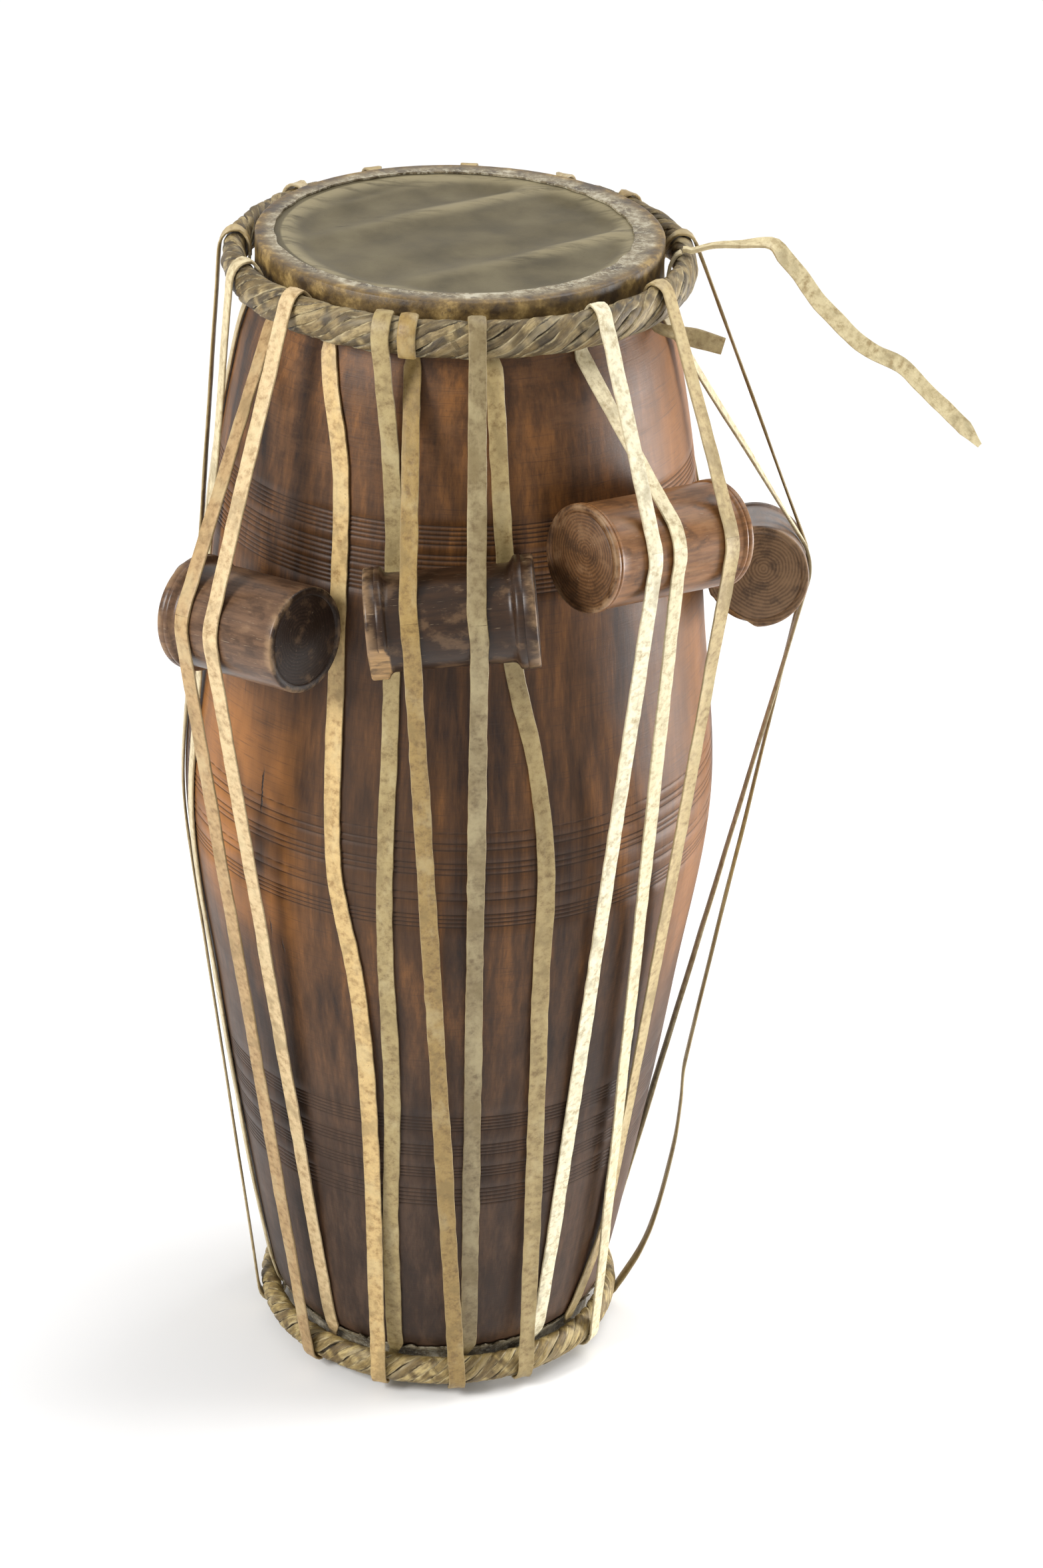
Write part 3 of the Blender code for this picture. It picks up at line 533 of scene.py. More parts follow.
# Heads: goat skin stretched over lining rings, with an outer ring of thicker skin laid over it and
# drawn down to a hem under the lacing hoop. The bass skin is slack and wrinkled. Both are glued.
SKIN_THICKNESS = 0.0008
RING_THICKNESS = 0.0010
TREBLE_HEM_HEIGHT = 0.0285
BASS_HEM = HEIGHT - 0.0220
TREBLE_RING_HOLE = 0.0530
BASS_RING_HOLE = 0.0926
BASS_RING_SHIFT = -0.0030
SHOULDER_ROUNDING = 0.0020
PASTE_RADIUS = 0.0500
PASTE_THICKNESS = 0.0010
HEAD_STEPS = 216
SKIN_SAG = 0.0042
FOLD_DIRECTION = Vector((0.82, 0.57))
# Folds of the bass skin: distance from the middle, spread, and height
FOLDS = ((0.038, 0.009, 0.0042), (-0.0425, 0.010, 0.0040), (0.074, 0.006, 0.0030),
         (-0.006, 0.014, 0.0012))


def skin_surface(name, dark, middle, light, scale, sheen):
    """Scraped hide, mottled, with pores and faint veins, and a painted highlight on the ridges of its folds.
    """
    made, shader = new_material(name)
    place = Value.node("ShaderNodeTexCoord", output="Object")
    blotches = grain(place, (scale, scale, scale), 6.0, 0.62)
    clouds = grain(place, (scale / 4, scale / 4, scale / 4), 3.0, 0.5)
    pores = grain(place, (900.0, 900.0, 900.0), 3.0, 0.6)
    colour = ramp(blotches * 0.6 + clouds * 0.4, (0.36, dark), (0.50, middle), (0.63, light))
    colour = mix(pores.step(0.60, 0.72) * 0.35, colour, dark)
    stains = grain(place, (26.0, 150.0, 60.0), 6.0, 0.72)
    colour = mix(stains.step(0.63, 0.70) * 0.7, colour, [part * 0.35 for part in dark])
    # Painted highlight: paler colour along the ridges of the folds.
    painted_ridge_highlight = attribute("ridge", "Fac").step(0.35, 1.0) * stains.step(0.30, 0.55)
    colour = mix(painted_ridge_highlight * 0.7, colour, [part * 2.3 for part in light])
    feed(shader, "Base Color", colour)
    shader.inputs["Specular IOR Level"].default_value = 0.22
    feed(shader, "Roughness", sheen + (blotches - 0.5) * 0.4)
    feed(shader, "Normal", bump(blotches * 0.7 + pores * 0.3, 0.55, 0.0005))
    return made


def ring_surface():
    """The outer ring: grey-white and brown mottling, golden brown over its shoulder."""
    made, shader = new_material("ring_skin")
    place = Value.node("ShaderNodeTexCoord", output="Object")
    x, y, height = split(place)
    radius = (x * x + y * y).maths("SQRT", 0.0)
    blotches = grain(place, (75.0, 75.0, 75.0), 7.0, 0.68)
    spots = grain(place, (260.0, 260.0, 260.0), 4.0, 0.6)
    colour = ramp(blotches, (0.36, (0.050, 0.034, 0.017)), (0.47, (0.145, 0.110, 0.060)),
                  (0.55, (0.240, 0.195, 0.120)), (0.64, (0.480, 0.430, 0.320)))
    golden = ramp(blotches, (0.38, (0.040, 0.022, 0.007)), (0.52, (0.140, 0.085, 0.024)),
                  (0.64, (0.330, 0.220, 0.075)))
    flakes = grain(place, (420.0, 420.0, 420.0), 5.0, 0.7)
    flat = 1.0 - radius.step(0.094, 0.101)
    colour = mix(flat * flakes.step(0.50, 0.57) * 0.7, colour, (0.440, 0.400, 0.290))
    shoulder = radius.step(0.0985, 0.1035)
    colour = mix(shoulder, colour, golden)
    colour = mix(spots.step(0.58, 0.68) * 0.6, colour, (0.070, 0.045, 0.022))
    feed(shader, "Base Color", colour)
    feed(shader, "Roughness", 0.52 + (blotches - 0.5) * 0.5)
    feed(shader, "Normal", bump(blotches + spots * 0.4, 0.7, 0.0007))
    return made


def wrapped_skin(face, face_sign, hem, inner_offset, thickness, hole_radius):
    """Outline of a skin: level over the end, then down along the shell to the hem."""
    rim = BASS_RIM if face_sign > 0 else TREBLE_RIM
    outer = inner_offset + thickness
    down_steps = 12
    down_side = [rim + (hem - rim) * i / down_steps for i in range(down_steps + 1)]
    inner_side = [(shell_radius(height) + inner_offset, height) for height in down_side]
    outer_side = [(shell_radius(height) + outer, height) for height in down_side]
    rim_radius = outer_side[0][0]
    corner = rim_radius - SHOULDER_ROUNDING
    drop = abs(face - rim) + SHOULDER_ROUNDING
    level_steps = max(2, round((corner - hole_radius) / 0.0022))
    top = [(hole_radius + (corner - hole_radius) * i / level_steps, face)
           for i in range(level_steps + 1)]
    rounding = []
    for i in range(1, 5):
        turn = radians(90 * i / 5)
        rounding.append((corner + SHOULDER_ROUNDING * sin(turn),
                         face - face_sign * min(drop, SHOULDER_ROUNDING) * (1 - cos(turn)) * 0.8))
    inner_face = face - face_sign * thickness
    bottom = [(inner_side[0][0], inner_face)]
    bottom += [(radius, inner_face) for radius, _ in top[::-1] if radius < inner_side[0][0]]
    return top + rounding + outer_side[1:] + inner_side[::-1] + bottom[1:]


def fold_height(x, y):
    """How far the slack bass skin lies below its edge: a sag, two long folds and small wrinkles."""
    radius = hypot(x, y)
    waver = 0.004 * noise.noise(Vector((x * 18, y * 18, 3.0)))
    across = y * FOLD_DIRECTION.x - x * FOLD_DIRECTION.y + waver
    along = x * FOLD_DIRECTION.x + y * FOLD_DIRECTION.y
    folds = sum(rise * exp(-((across - place) / spread) ** 2) * (0.75 + along * 5)
                for place, spread, rise in FOLDS)
    wrinkles = sin(across * 420 + waver * 900) * max(0.0, along / 0.09) ** 2 * 0.00025
    broad = 0.0007 * noise.noise(Vector((x * 24, y * 34, 8.0)))
    edge = min(max((BASS_RING_HOLE - 0.0030 - radius) / 0.012, 0.0), 1.0)
    return edge * (-SKIN_SAG + folds + wrinkles + broad)


def make_heads():
    drum_skin = skin_surface("drum_skin", (0.062, 0.049, 0.023), (0.102, 0.083, 0.045),
                             (0.138, 0.116, 0.067), 38.0, 0.56)
    ring_skin = ring_surface()
    for end, face, sign, hem, hole in (("treble", 0.0, -1, TREBLE_HEM_HEIGHT, TREBLE_RING_HOLE),
                                       ("bass", HEIGHT, 1, BASS_HEM, BASS_RING_HOLE)):
        skin_face = face - sign * (RING_THICKNESS + GAP)
        outline = wrapped_skin(skin_face, sign, hem, GAP, SKIN_THICKNESS, 0.0)
        built = spin_outline(outline, HEAD_STEPS)
        ridge = built.verts.layers.float.new("ridge")
        for vert in built.verts:
            inside = hypot(vert.co.x, vert.co.y) < BASS_RING_HOLE
            if end == "bass" and vert.co.z > HEIGHT - 0.004 and inside:
                rise = fold_height(vert.co.x, vert.co.y)
                vert.co.z += rise
                vert[ridge] = min(max(1 + rise / SKIN_SAG, 0.0), 1.0)
        skin = add_piece(end + "_main_skin", built, drum_skin)
        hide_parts(end + "_skin")
        ring_offset = GAP + SKIN_THICKNESS + GAP
        outline = wrapped_skin(face, sign, hem, ring_offset, RING_THICKNESS, hole)
        built = spin_outline(outline, HEAD_STEPS)
        for vert in built.verts:
            radius = hypot(vert.co.x, vert.co.y)
            angle = atan2(vert.co.x, -vert.co.y)
            round_place = Vector((sin(angle) * 9, cos(angle) * 9, 5.0 + sign))
            if radius < hole + 0.0035:
                share = 1 - (radius - hole) / 0.0035
                grown = 1 + 0.0012 * noise.noise(round_place) * share / radius
                vert.co.x *= grown
                vert.co.y *= grown
                if end == "bass":
                    vert.co.x += BASS_RING_SHIFT * share
            elif end == "bass" and radius > 0.099 and vert.co.z > HEIGHT - 0.016:
                pleat = 0.00055 * noise.noise(Vector((sin(angle) * 38, cos(angle) * 38, 2.0)))
                vert.co.x *= 1 - abs(pleat) / radius
                vert.co.y *= 1 - abs(pleat) / radius
            if end == "treble" and abs(vert.co.z - hem) < 0.0012:
                rise = 0.0065 * max(0.0, noise.noise(Vector((sin(angle) * 30, cos(angle) * 30, 1.0))) + 0.30)
                offset = radius - shell_radius(vert.co.z)
                height = vert.co.z + rise
                lifted = (shell_radius(height) + offset) / radius
                vert.co.x *= lifted
                vert.co.y *= lifted
                vert.co.z = height
        ring = add_piece(end + "_outer_ring", built, ring_skin)
        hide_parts(end + "_ring")
    lining = skin_surface("lining_skin", (0.25, 0.20, 0.12), (0.45, 0.38, 0.25),
                          (0.6, 0.52, 0.38), 50.0, 0.65)
    for name in ("treble_lining_ring", "bass_lining_ring"):
        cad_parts[name].material_slots[0].material = lining


make_heads()


# Tuning paste: iron paste rubbed onto the treble head in thin layers. It dried into a black disc
# crazed with fine cracks, and the drum stands on it.
def make_paste():
    made, shader = new_material("tuning_paste")
    place = Value.node("ShaderNodeTexCoord", output="Object")
    cells = Value.node("ShaderNodeTexVoronoi", {"feature": "DISTANCE_TO_EDGE"},
                       {"Vector": place, "Scale": 330.0})
    painted_ridge_highlight = grain(place, (140.0, 140.0, 140.0))
    colour = mix(cells.step(0.02, 0.08), (0.003, 0.003, 0.003), (0.022, 0.021, 0.020))
    feed(shader, "Base Color", mix(painted_ridge_highlight.step(0.55, 0.70) * 0.5, colour, (0.060, 0.056, 0.050)))
    feed(shader, "Roughness", 0.50 + painted_ridge_highlight * 0.3)
    feed(shader, "Normal", bump(cells.step(0.0, 0.10), 0.6, 0.0003))
    rings = 16
    outline = [(PASTE_RADIUS * i / rings, 0.0) for i in range(rings + 1)]
    outline += [(PASTE_RADIUS, PASTE_THICKNESS)]
    outline += [(PASTE_RADIUS * i / rings, PASTE_THICKNESS) for i in range(rings - 1, -1, -1)]
    paste = add_piece("tuning_paste_disc", spin_outline(outline, HEAD_STEPS), made)
    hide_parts("treble_paste")


make_paste()


# Hoops: strips of rawhide twisted round a core into a rope, loosely at the bass end and tightly at
# the treble end. The strips are flattened and pale at their edges, with painted shade in the creases.
STRAND_STEPS = 34
STRAND_POINTS = 12
CORE_SHARE = 0.62


def hoop_leather():
    made, shader = new_material("hoop_leather")
    place = attribute("local", "Vector")
    tone = attribute("tone", "Color")
    streaks = grain(place, (3.0, 130.0, 3.0), 6.0, 0.70)
    clouds = grain(place, (1.0, 26.0, 2.0), 3.0, 0.5)
    across = split(place)[0].maths("ABSOLUTE", 0.0)
    colour = mix(1.0, tone, mix(streaks.step(0.34, 0.66), (0.50, 0.44, 0.34), (1.30, 1.26, 1.18)),
                 "MULTIPLY")
    colour = mix(clouds.step(0.52, 0.68) * 0.45, colour, (0.36, 0.29, 0.165))
    colour = mix(across.step(0.28, 0.40) * streaks.step(0.42, 0.60) * 0.5, colour, (0.50, 0.42, 0.24))
    # Painted shade: near-black along the sides of each strip, in the creases between strips.
    colour = mix(across.step(0.42, 0.49) * 0.9, colour, (0.030, 0.020, 0.010))
    feed(shader, "Base Color", colour)
    feed(shader, "Roughness", 0.70 - clouds * 0.25)
    feed(shader, "Normal", bump(streaks, 0.8, 0.0006))
    return made


def make_hoop(name, hoop, strands, plies, turns, tones, half_thickness, fullness, surface):
    """Strips wound round the hoop's core, each a closed flattened tube."""
    built = spin_outline([(hoop.radius + hoop.half_width * CORE_SHARE * cos(2 * pi * i / 16),
                           hoop.height + hoop.half_height * CORE_SHARE * sin(2 * pi * i / 16))
                          for i in range(16)], 96)
    place = built.verts.layers.float_vector.new("local")
    shade = built.verts.layers.float_color.new("tone")
    for vert in built.verts:
        vert[shade] = (0.05, 0.035, 0.02, 1.0)

    def centre(angle, turn, sink):
        inset = half_thickness + sink
        return polar(hoop.radius + (hoop.half_width - inset) * cos(turn), angle,
                     hoop.height + (hoop.half_height - inset) * sin(turn))

    spacing = 2 * pi * hoop.radius / (strands * turns)
    for strand in range(strands * plies):
        bundle, ply = divmod(strand, plies)
        off_middle = (ply + 0.5) / plies - 0.5
        steps = turns * STRAND_STEPS
        rings = []
        for i in range(steps):
            angle = 2 * pi * i / steps
            about = Vector((sin(angle) * 8, cos(angle) * 8, bundle * 5.3))
            lead = 2 * pi * (bundle + off_middle * 0.92) / strands + 0.30 * noise.noise(about)
            turn = turns * angle + lead
            loose = noise.noise(Vector((sin(angle) * 24, cos(angle) * 24, strand * 9.1 + turn * 0.2)))
            sink = half_thickness * (0.25 + 0.9 * abs(off_middle) + 0.35 * loose)
            step = 0.01
            middle = centre(angle, turn, sink)
            forward = (centre(angle + step, turn + turns * step, sink) - middle).normalized()
            radial = polar(1.0, angle, 0.0)
            out = (radial * cos(turn) / hoop.half_width
                   + Vector((0, 0, 1)) * sin(turn) / hoop.half_height).normalized()
            out = (out - forward * out.dot(forward)).normalized()
            across = out.cross(forward)
            half = spacing * fullness / plies * (1 + 0.25 * loose)
            tone = tones[(strand + (1 if loose > 0.15 else 0)) % len(tones)]
            ring = []
            for k in range(STRAND_POINTS):
                bend = 2 * pi * k / STRAND_POINTS
                u, v = cos(bend), sin(bend)
                flat = abs(v) ** 0.7 * (1 if v > 0 else -1)
                vert = built.verts.new(middle + across * half * u + out * half_thickness * flat)
                vert[place] = Vector((u / 2, angle * hoop.radius * 1.5, strand * 3.7))
                vert[shade] = (*tone, 1.0)
                ring.append(vert)
            rings.append(ring)
        for i, ring in enumerate(rings):
            following = rings[(i + 1) % steps]
            for k in range(STRAND_POINTS):
                built.faces.new((ring[k], ring[k - 1], following[k - 1], following[k]))
    made = add_piece(name + "_rope", built, surface)
    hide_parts(name)


HOOP_LEATHER = hoop_leather()
make_hoop("bass_hoop", BASS_HOOP, 3, 3, 10,
          ((0.100, 0.070, 0.026), (0.170, 0.122, 0.050), (0.066, 0.046, 0.018), (0.260, 0.200, 0.095)),
          0.0016, 0.36, HOOP_LEATHER)
make_hoop("treble_hoop", TREBLE_HOOP, 3, 2, 14,
          ((0.290, 0.215, 0.080), (0.200, 0.142, 0.048), (0.370, 0.290, 0.130), (0.150, 0.103, 0.036)),
          0.0015, 0.40, HOOP_LEATHER)


# Tuning blocks: spools turned from a dark hardwood and wedged under the lacing. Pushed along the
# shell they tighten the straps. They are polished by them, scratched, and two rims are cut flat.
BLOCK_LIFT = 0.0022
BLOCK_STEPS = 96
BLOCKS = (
    ("block_front_left", -39.1, 0.1711, 5.1, 0.0743, 0.0272, (0.0300, 0.0070), (0.0272, 0.0)),
    ("block_front", 0.0, 0.1497, 6.3, 0.0846, 0.0248, (0.0283, 0.0090), (0.0286, 0.0100)),
    ("block_front_right", 39.4, 0.1255, -5.6, 0.0914, 0.0268, (0.0276, 0.0050), (0.0278, 0.0060)),
    ("block_right", 88.5, 0.1848, -15.2, 0.0850, 0.0268, (0.0268, 0.0), (0.0278, 0.0080)),
    ("block_back_right", 138.0, 0.2180, 3.0, 0.0820, 0.0262, (0.0276, 0.0075), (0.0276, 0.0075)),
    ("block_back", 180.0, 0.1600, -4.0, 0.0840, 0.0258, (0.0258, 0.0), (0.0282, 0.0080)),
    ("block_back_left", 222.0, 0.2670, 3.0, 0.0820, 0.0262, (0.0276, 0.0070), (0.0262, 0.0)),
)
SLICED_RIMS = (
    ("block_front", -1, -42.0, 0.0243),
    ("block_right", -1, -128.0, 0.0225),
)
# Colour of each block's turned side and of its end faces
BLOCK_TONES = {
    # block_front_left: its side tone is lightened to stand for a painted highlight on its polish.
    "block_front_left": ((0.110, 0.060, 0.033), (0.026, 0.015, 0.010)),
    "block_front": ((0.030, 0.014, 0.006), (0.050, 0.028, 0.014)),
    "block_front_right": ((0.200, 0.090, 0.032), (0.105, 0.050, 0.020)),
    "block_right": ((0.110, 0.060, 0.032), (0.190, 0.110, 0.056)),
    "block_back_right": ((0.100, 0.055, 0.034), (0.130, 0.080, 0.050)),
    "block_back": ((0.070, 0.036, 0.022), (0.110, 0.065, 0.040)),
    "block_back_left": ((0.120, 0.066, 0.038), (0.150, 0.090, 0.055)),
}
SLICE_TONE = (0.360, 0.220, 0.095)
EDGE_ROUNDING = 0.0014
FACE_RINGS = (0.84,)


def block_wood():
    """Dark wood: grain along the spool, growth rings on its ends, scratches and a worn shine."""
    made, shader = new_material("block_wood")
    place = attribute("local", "Vector")
    tone = attribute("tone", "Color")
    end_face = attribute("face", "Fac")
    x, y, along = split(place)
    fibres = grain(place, (420.0, 420.0, 46.0), 6.0, 0.62)
    clouds = grain(place, (90.0, 90.0, 60.0), 5.0, 0.62)
    scratches = grain(place, (1300.0, 1300.0, 130.0), 4.0, 0.5)
    warped = grain(place, (60.0, 60.0, 10.0), 2.0, 0.5)
    reach = ((x - 0.004) * (x - 0.004) + (y - 0.003) * (y - 0.003)).maths("SQRT", 0.0)
    rings = (reach * 3600.0 + warped * 16.0).maths("SINE", 0.0) * 0.5 + 0.5
    pattern = fibres * (1.0 - end_face) + (rings * 0.28 + clouds * 0.3 + fibres * 0.42) * end_face
    colour = mix(1.0, tone, mix(pattern.step(0.32, 0.68), (0.66, 0.63, 0.60), (1.22, 1.20, 1.16)),
                 "MULTIPLY")
    colour = mix(clouds.step(0.52, 0.66) * 0.4, colour, mix(0.5, tone, (0.34, 0.20, 0.10)))
    colour = mix((1.0 - clouds.step(0.36, 0.48)) * 0.5, colour, (0.022, 0.011, 0.006))
    colour = mix(scratches.step(0.66, 0.72) * 0.45, colour, (0.30, 0.22, 0.14))
    worn = attribute("worn", "Fac")
    colour = mix(worn * clouds.step(0.42, 0.62) * 0.7, colour, (0.30, 0.19, 0.10))
    feed(shader, "Base Color", colour)
    shader.inputs["Specular IOR Level"].default_value = 0.28
    feed(shader, "Roughness", 0.20 + clouds * 0.26 + end_face * 0.14)
    feed(shader, "Normal", bump(fibres * 0.5 + rings * end_face * 0.2 - scratches * 0.3, 0.35, 0.0003))
    return made


class Block:
    """Place and size of a block: its middle, and its directions along, outwards and up."""

    def __init__(self, name, angle, depth, tilt, length, radius, left_rim, right_rim):
        height = HEIGHT - depth
        self.name = name
        self.length = length
        self.radius = radius
        self.height = height
        self.rims = (left_rim, right_rim)
        turned = radians(angle)
        step = 0.002
        slope = (shell_radius(height + step) - shell_radius(height - step)) / (2 * step)
        outwards = polar(1.0, turned, 0.0)
        self.slide = (Vector((0, 0, 1)) + slope * outwards).normalized()
        level = sideways(turned)
        self.normal = level.cross(self.slide).normalized()
        self.along = (level * cos(radians(tilt)) + self.slide * sin(radians(tilt))).normalized()
        self.up = self.normal.cross(self.along)
        seat = polar(shell_radius(height), turned, height)
        self.middle = seat + self.normal * (BLOCK_LIFT + radius)

    def end_outline(self, rim_radius, rim_width):
        """Half the outline from the middle of an end face to the body, as (radius, inset)."""
        points = [(0.0, 0.0003)]
        for share in FACE_RINGS:
            ring = rim_radius * share
            points += [(ring - 0.0007, 0.0002), (ring, 0.0006), (ring + 0.0007, 0.0001)]
        for i in range(5):
            turn = radians(90 * i / 4)
            points.append((rim_radius - EDGE_ROUNDING * (1 - sin(turn)), EDGE_ROUNDING * (1 - cos(turn))))
        if rim_width > 0:
            scored = rim_width * 0.62
            points += [(rim_radius, scored - 0.0006), (rim_radius - 0.0004, scored),
                       (rim_radius, scored + 0.0006), (rim_radius, rim_width - 0.0008),
                       (rim_radius - 0.0005, rim_width)]
            fall = rim_radius - self.radius
            points += [(self.radius + fall * 0.35, rim_width + fall * 0.3),
                       (self.radius + fall * 0.08, rim_width + fall * 0.6)]
            points.append((self.radius, rim_width + fall))
        return points

    def outline(self):
        """The spool's outline as (radius, distance along) points."""
        half = self.length / 2
        left = [(radius, -half + inset) for radius, inset in self.end_outline(*self.rims[0])]
        right = [(radius, half - inset) for radius, inset in self.end_outline(*self.rims[1])][::-1]
        count = 16
        start, end = left[-1][1], right[0][1]
        body = [(self.radius, start + (end - start) * i / count) for i in range(1, count)]
        return left + body + right

    def make(self, surface):
        built = spin_outline(self.outline(), BLOCK_STEPS)
        place = built.verts.layers.float_vector.new("local")
        shade = built.verts.layers.float_color.new("tone")
        face_share = built.verts.layers.float.new("face")
        worn = built.verts.layers.float.new("worn")
        body_tone, face_tone = BLOCK_TONES[self.name]
        half = self.length / 2
        for vert in built.verts:
            inset = half - abs(vert.co.z)
            radius = hypot(vert.co.x, vert.co.y)
            rim_radius = self.rims[0 if vert.co.z < 0 else 1][0]
            on_face = inset < 0.0012 and radius < rim_radius - 0.0004
            at_edge = inset < 0.0022 and radius > rim_radius - 0.0016
            vert[face_share] = 1.0 if on_face else 0.0
            vert[worn] = 0.8 if at_edge else 0.0
            vert[shade] = (*(face_tone if on_face else body_tone), 1.0)
        for name, end, direction, distance in SLICED_RIMS:
            if name == self.name:
                towards = Vector((sin(radians(direction)), cos(radians(direction)), 0.0))
                rim_width = max(self.rims[0 if end < 0 else 1][1], self.length / 8)
                for vert in built.verts:
                    past = vert.co.dot(towards) - distance
                    if vert.co.z * end > half - rim_width - GAP and past > 0:
                        vert.co -= towards * past
                        vert[shade] = (*SLICE_TONE, 1.0)
        for vert in built.verts:
            vert[place] = vert.co + Vector((0.0, 0.0, self.height * 5))
            vert.co = (self.middle + self.up * vert.co.x + self.normal * vert.co.y
                       + self.along * vert.co.z)
        made = add_piece(self.name + "_spool", built, surface, self.name)
        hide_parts(self.name)

    def strap_turn(self, offset, above, below):
        """Points where a strap wraps the block on its way from above to below."""
        centre = self.middle + self.along * offset
        reach = self.radius + STRAP_OFFSET
        turns = []
        for point, sign in ((above, -1), (below, 1)):
            away = point - centre
            flat = Vector((away.dot(self.normal), away.dot(self.up)))
            turns.append(atan2(flat.y, flat.x) + sign * acos(reach / flat.length))
        steps = max(2, round(abs(degrees(turns[0] - turns[1])) / 13))
        points = []
        for i in range(steps + 1):
            turn = turns[0] + (turns[1] - turns[0]) * i / steps
            points.append(centre + (self.normal * cos(turn) + self.up * sin(turn)) * reach)
        return points


BLOCK_WOOD = block_wood()
BLOCK_BY_NAME = {row[0]: Block(*row) for row in BLOCKS}
for block in BLOCK_BY_NAME.values():
    block.make(BLOCK_WOOD)


# Lacing: two long straps cut from rawhide that zigzag between the hoops, over the blocks or under
# them. Each run is one piece from behind one hoop to behind the other. A run that crosses a block
# is two pieces that meet on it.
RUNS = {
    1: (-61.0, -44.0), 2: (-44.0, -38.0), 3: (-36.0, -18.0), 4: (-18.0, -14.0),
    5: (-11.8, 6.5), 6: (4.4, 10.5), 7: (9.5, 28.5), 8: (36.0, 35.5),
    9: (35.0, 59.0), 10: (59.0, 51.5), 11: (75.0, 97.0), 12: (98.0, 89.5),
    13: (107.0, 115.0), 14: (131.0, 122.0), 15: (138.0, 143.0), 16: (152.0, 149.0),
    17: (160.0, 166.0), 18: (178.0, 171.0), 19: (184.0, 192.0), 20: (204.0, 197.0),
    21: (211.0, 215.0), 22: (228.0, 220.0), 23: (236.0, 246.0), 24: (267.0, 253.0),
    25: (276.0, 277.0), 26: (291.0, 284.0),
}
OVER_BLOCK = {
    1: ("block_front_left", -0.0215), 2: ("block_front_left", -0.0020),
    5: ("block_front", -0.0205), 6: ("block_front", 0.0130),
    8: ("block_front_right", -0.0210), 9: ("block_front_right", -0.0050),
    10: ("block_front_right", 0.0300),
    11: ("block_right", -0.0110), 12: ("block_right", 0.0200),
    14: ("block_back_right", -0.0140), 15: ("block_back_right", 0.0130),
    18: ("block_back", -0.0140), 19: ("block_back", 0.0130),
    21: ("block_back_left", -0.0150), 22: ("block_back_left", 0.0130),
}
UNDER_BLOCK = {3: "block_front_left", 4: "block_front", 7: "block_front"}
WAYPOINTS = {
    3: ((0.572, -28.0), (0.500, -26.0), (0.365, -24.0), (0.286, -19.2), (0.185, -17.5)),
    4: ((0.568, -14.3), (0.465, -12.8), (0.319, -12.7), (0.215, -12.0), (0.125, -13.5)),
    7: ((0.562, 10.8), (0.475, 13.5), (0.427, 17.9), (0.374, 20.4), (0.293, 21.1), (0.184, 23.7)),
}
SLACK_POINTS = {
    10: ((0.100, 57.5, 0.0012),),
    12: ((0.168, 88.0, 0.0165), (0.1420, 88.0, 0.0195), (0.1145, 88.0, 0.0215),
         (0.070, 88.3, 0.0215), (0.040, 88.8, 0.0190)),
}
SWAPPED_AT_TREBLE = (11, 12)
FRONT_LACE_RUNS = tuple(range(5, 11))
LONG_LACE_RUNS = tuple(range(11, 27)) + tuple(range(1, 5))
STUB_ANGLE = 67.0
STUB_END = (0.1350, -0.0480, 0.6180)
CUT_END_REACH = 50.0
BEND_SPACING = 0.022
# Colour of the runs that show, by number, and how far their left and right edges curl up
RUN_TONES = {
    1: (0.360, 0.235, 0.105), 2: (0.520, 0.385, 0.210), 3: (0.500, 0.345, 0.145),
    4: (0.300, 0.225, 0.095), 5: (0.270, 0.175, 0.052), 6: (0.215, 0.165, 0.080),
    7: (0.330, 0.245, 0.105), 8: (0.740, 0.680, 0.490), 9: (0.660, 0.580, 0.380),
    10: (0.420, 0.320, 0.155), 11: (0.600, 0.520, 0.340), 12: (0.340, 0.250, 0.110),
    26: (0.550, 0.460, 0.280),
}
OTHER_TONES = ((0.390, 0.290, 0.135), (0.470, 0.380, 0.225), (0.320, 0.230, 0.100))
RUN_CURLS = {7: (0.0, 0.0012), 3: (0.0007, 0.0), 11: (0.0006, 0.0006), 10: (0.0005, 0.0005)}


def at_angle(point):
    """The angle round the drum of a point, in radians."""
    return atan2(point.x, -point.y)


def seat_radius(height):
    """Radius of whatever a strap lies on: the shell, or the skins wrapped round its ends."""
    wrapped = height <= TREBLE_HEM_HEIGHT + GAP or height >= BASS_HEM - GAP
    return shell_radius(height) + (WRAP_THICKNESS + GAP if wrapped else 0.0)


def taut_outline(start, end):
    """Corner points (height, radius) of a strap pulled tight over the shell between two points."""
    high, low = max(start, end), min(start, end)
    count = max(2, round((high[0] - low[0]) / 0.012))
    heights = [low[0] + (high[0] - low[0]) * i / count for i in range(1, count)]
    points = [low]
    for height in sorted(heights + [TREBLE_HEM_HEIGHT, BASS_HEM]):
        if low[0] < height < high[0]:
            points.append((height, seat_radius(height) + STRAP_OFFSET * 1.1))
    points.append(high)
    outline = []
    for point in points:
        while len(outline) > 1:
            (z0, r0), (z1, r1) = outline[-2], outline[-1]
            if (z1 - z0) * (point[1] - r0) < (r1 - r0) * (point[0] - z0):
                break
            outline.pop()
        outline.append(point)
    return outline[::-1]


def taut_stretch(upper, lower, angle_at=None):
    """Points strictly between two points, down a strap that is tight over the shell."""
    upper_pair = (upper.z, hypot(upper.x, upper.y))
    lower_pair = (lower.z, hypot(lower.x, lower.y))
    outline = taut_outline(upper_pair, lower_pair)
    points = []
    if angle_at is None:
        for height, radius in outline[1:-1]:
            share = (upper.z - height) / (upper.z - lower.z)
            points.append(polar(radius, at_angle(upper.lerp(lower, share)), height))
        return points
    for (high, high_radius), (low, low_radius) in zip(outline, outline[1:]):
        steps = max(1, round((high - low) / BEND_SPACING))
        for i in range(steps):
            share = i / steps
            height = high + (low - high) * share
            radius = high_radius + (low_radius - high_radius) * share
            points.append(polar(radius, angle_at(height), height))
    return points[1:]


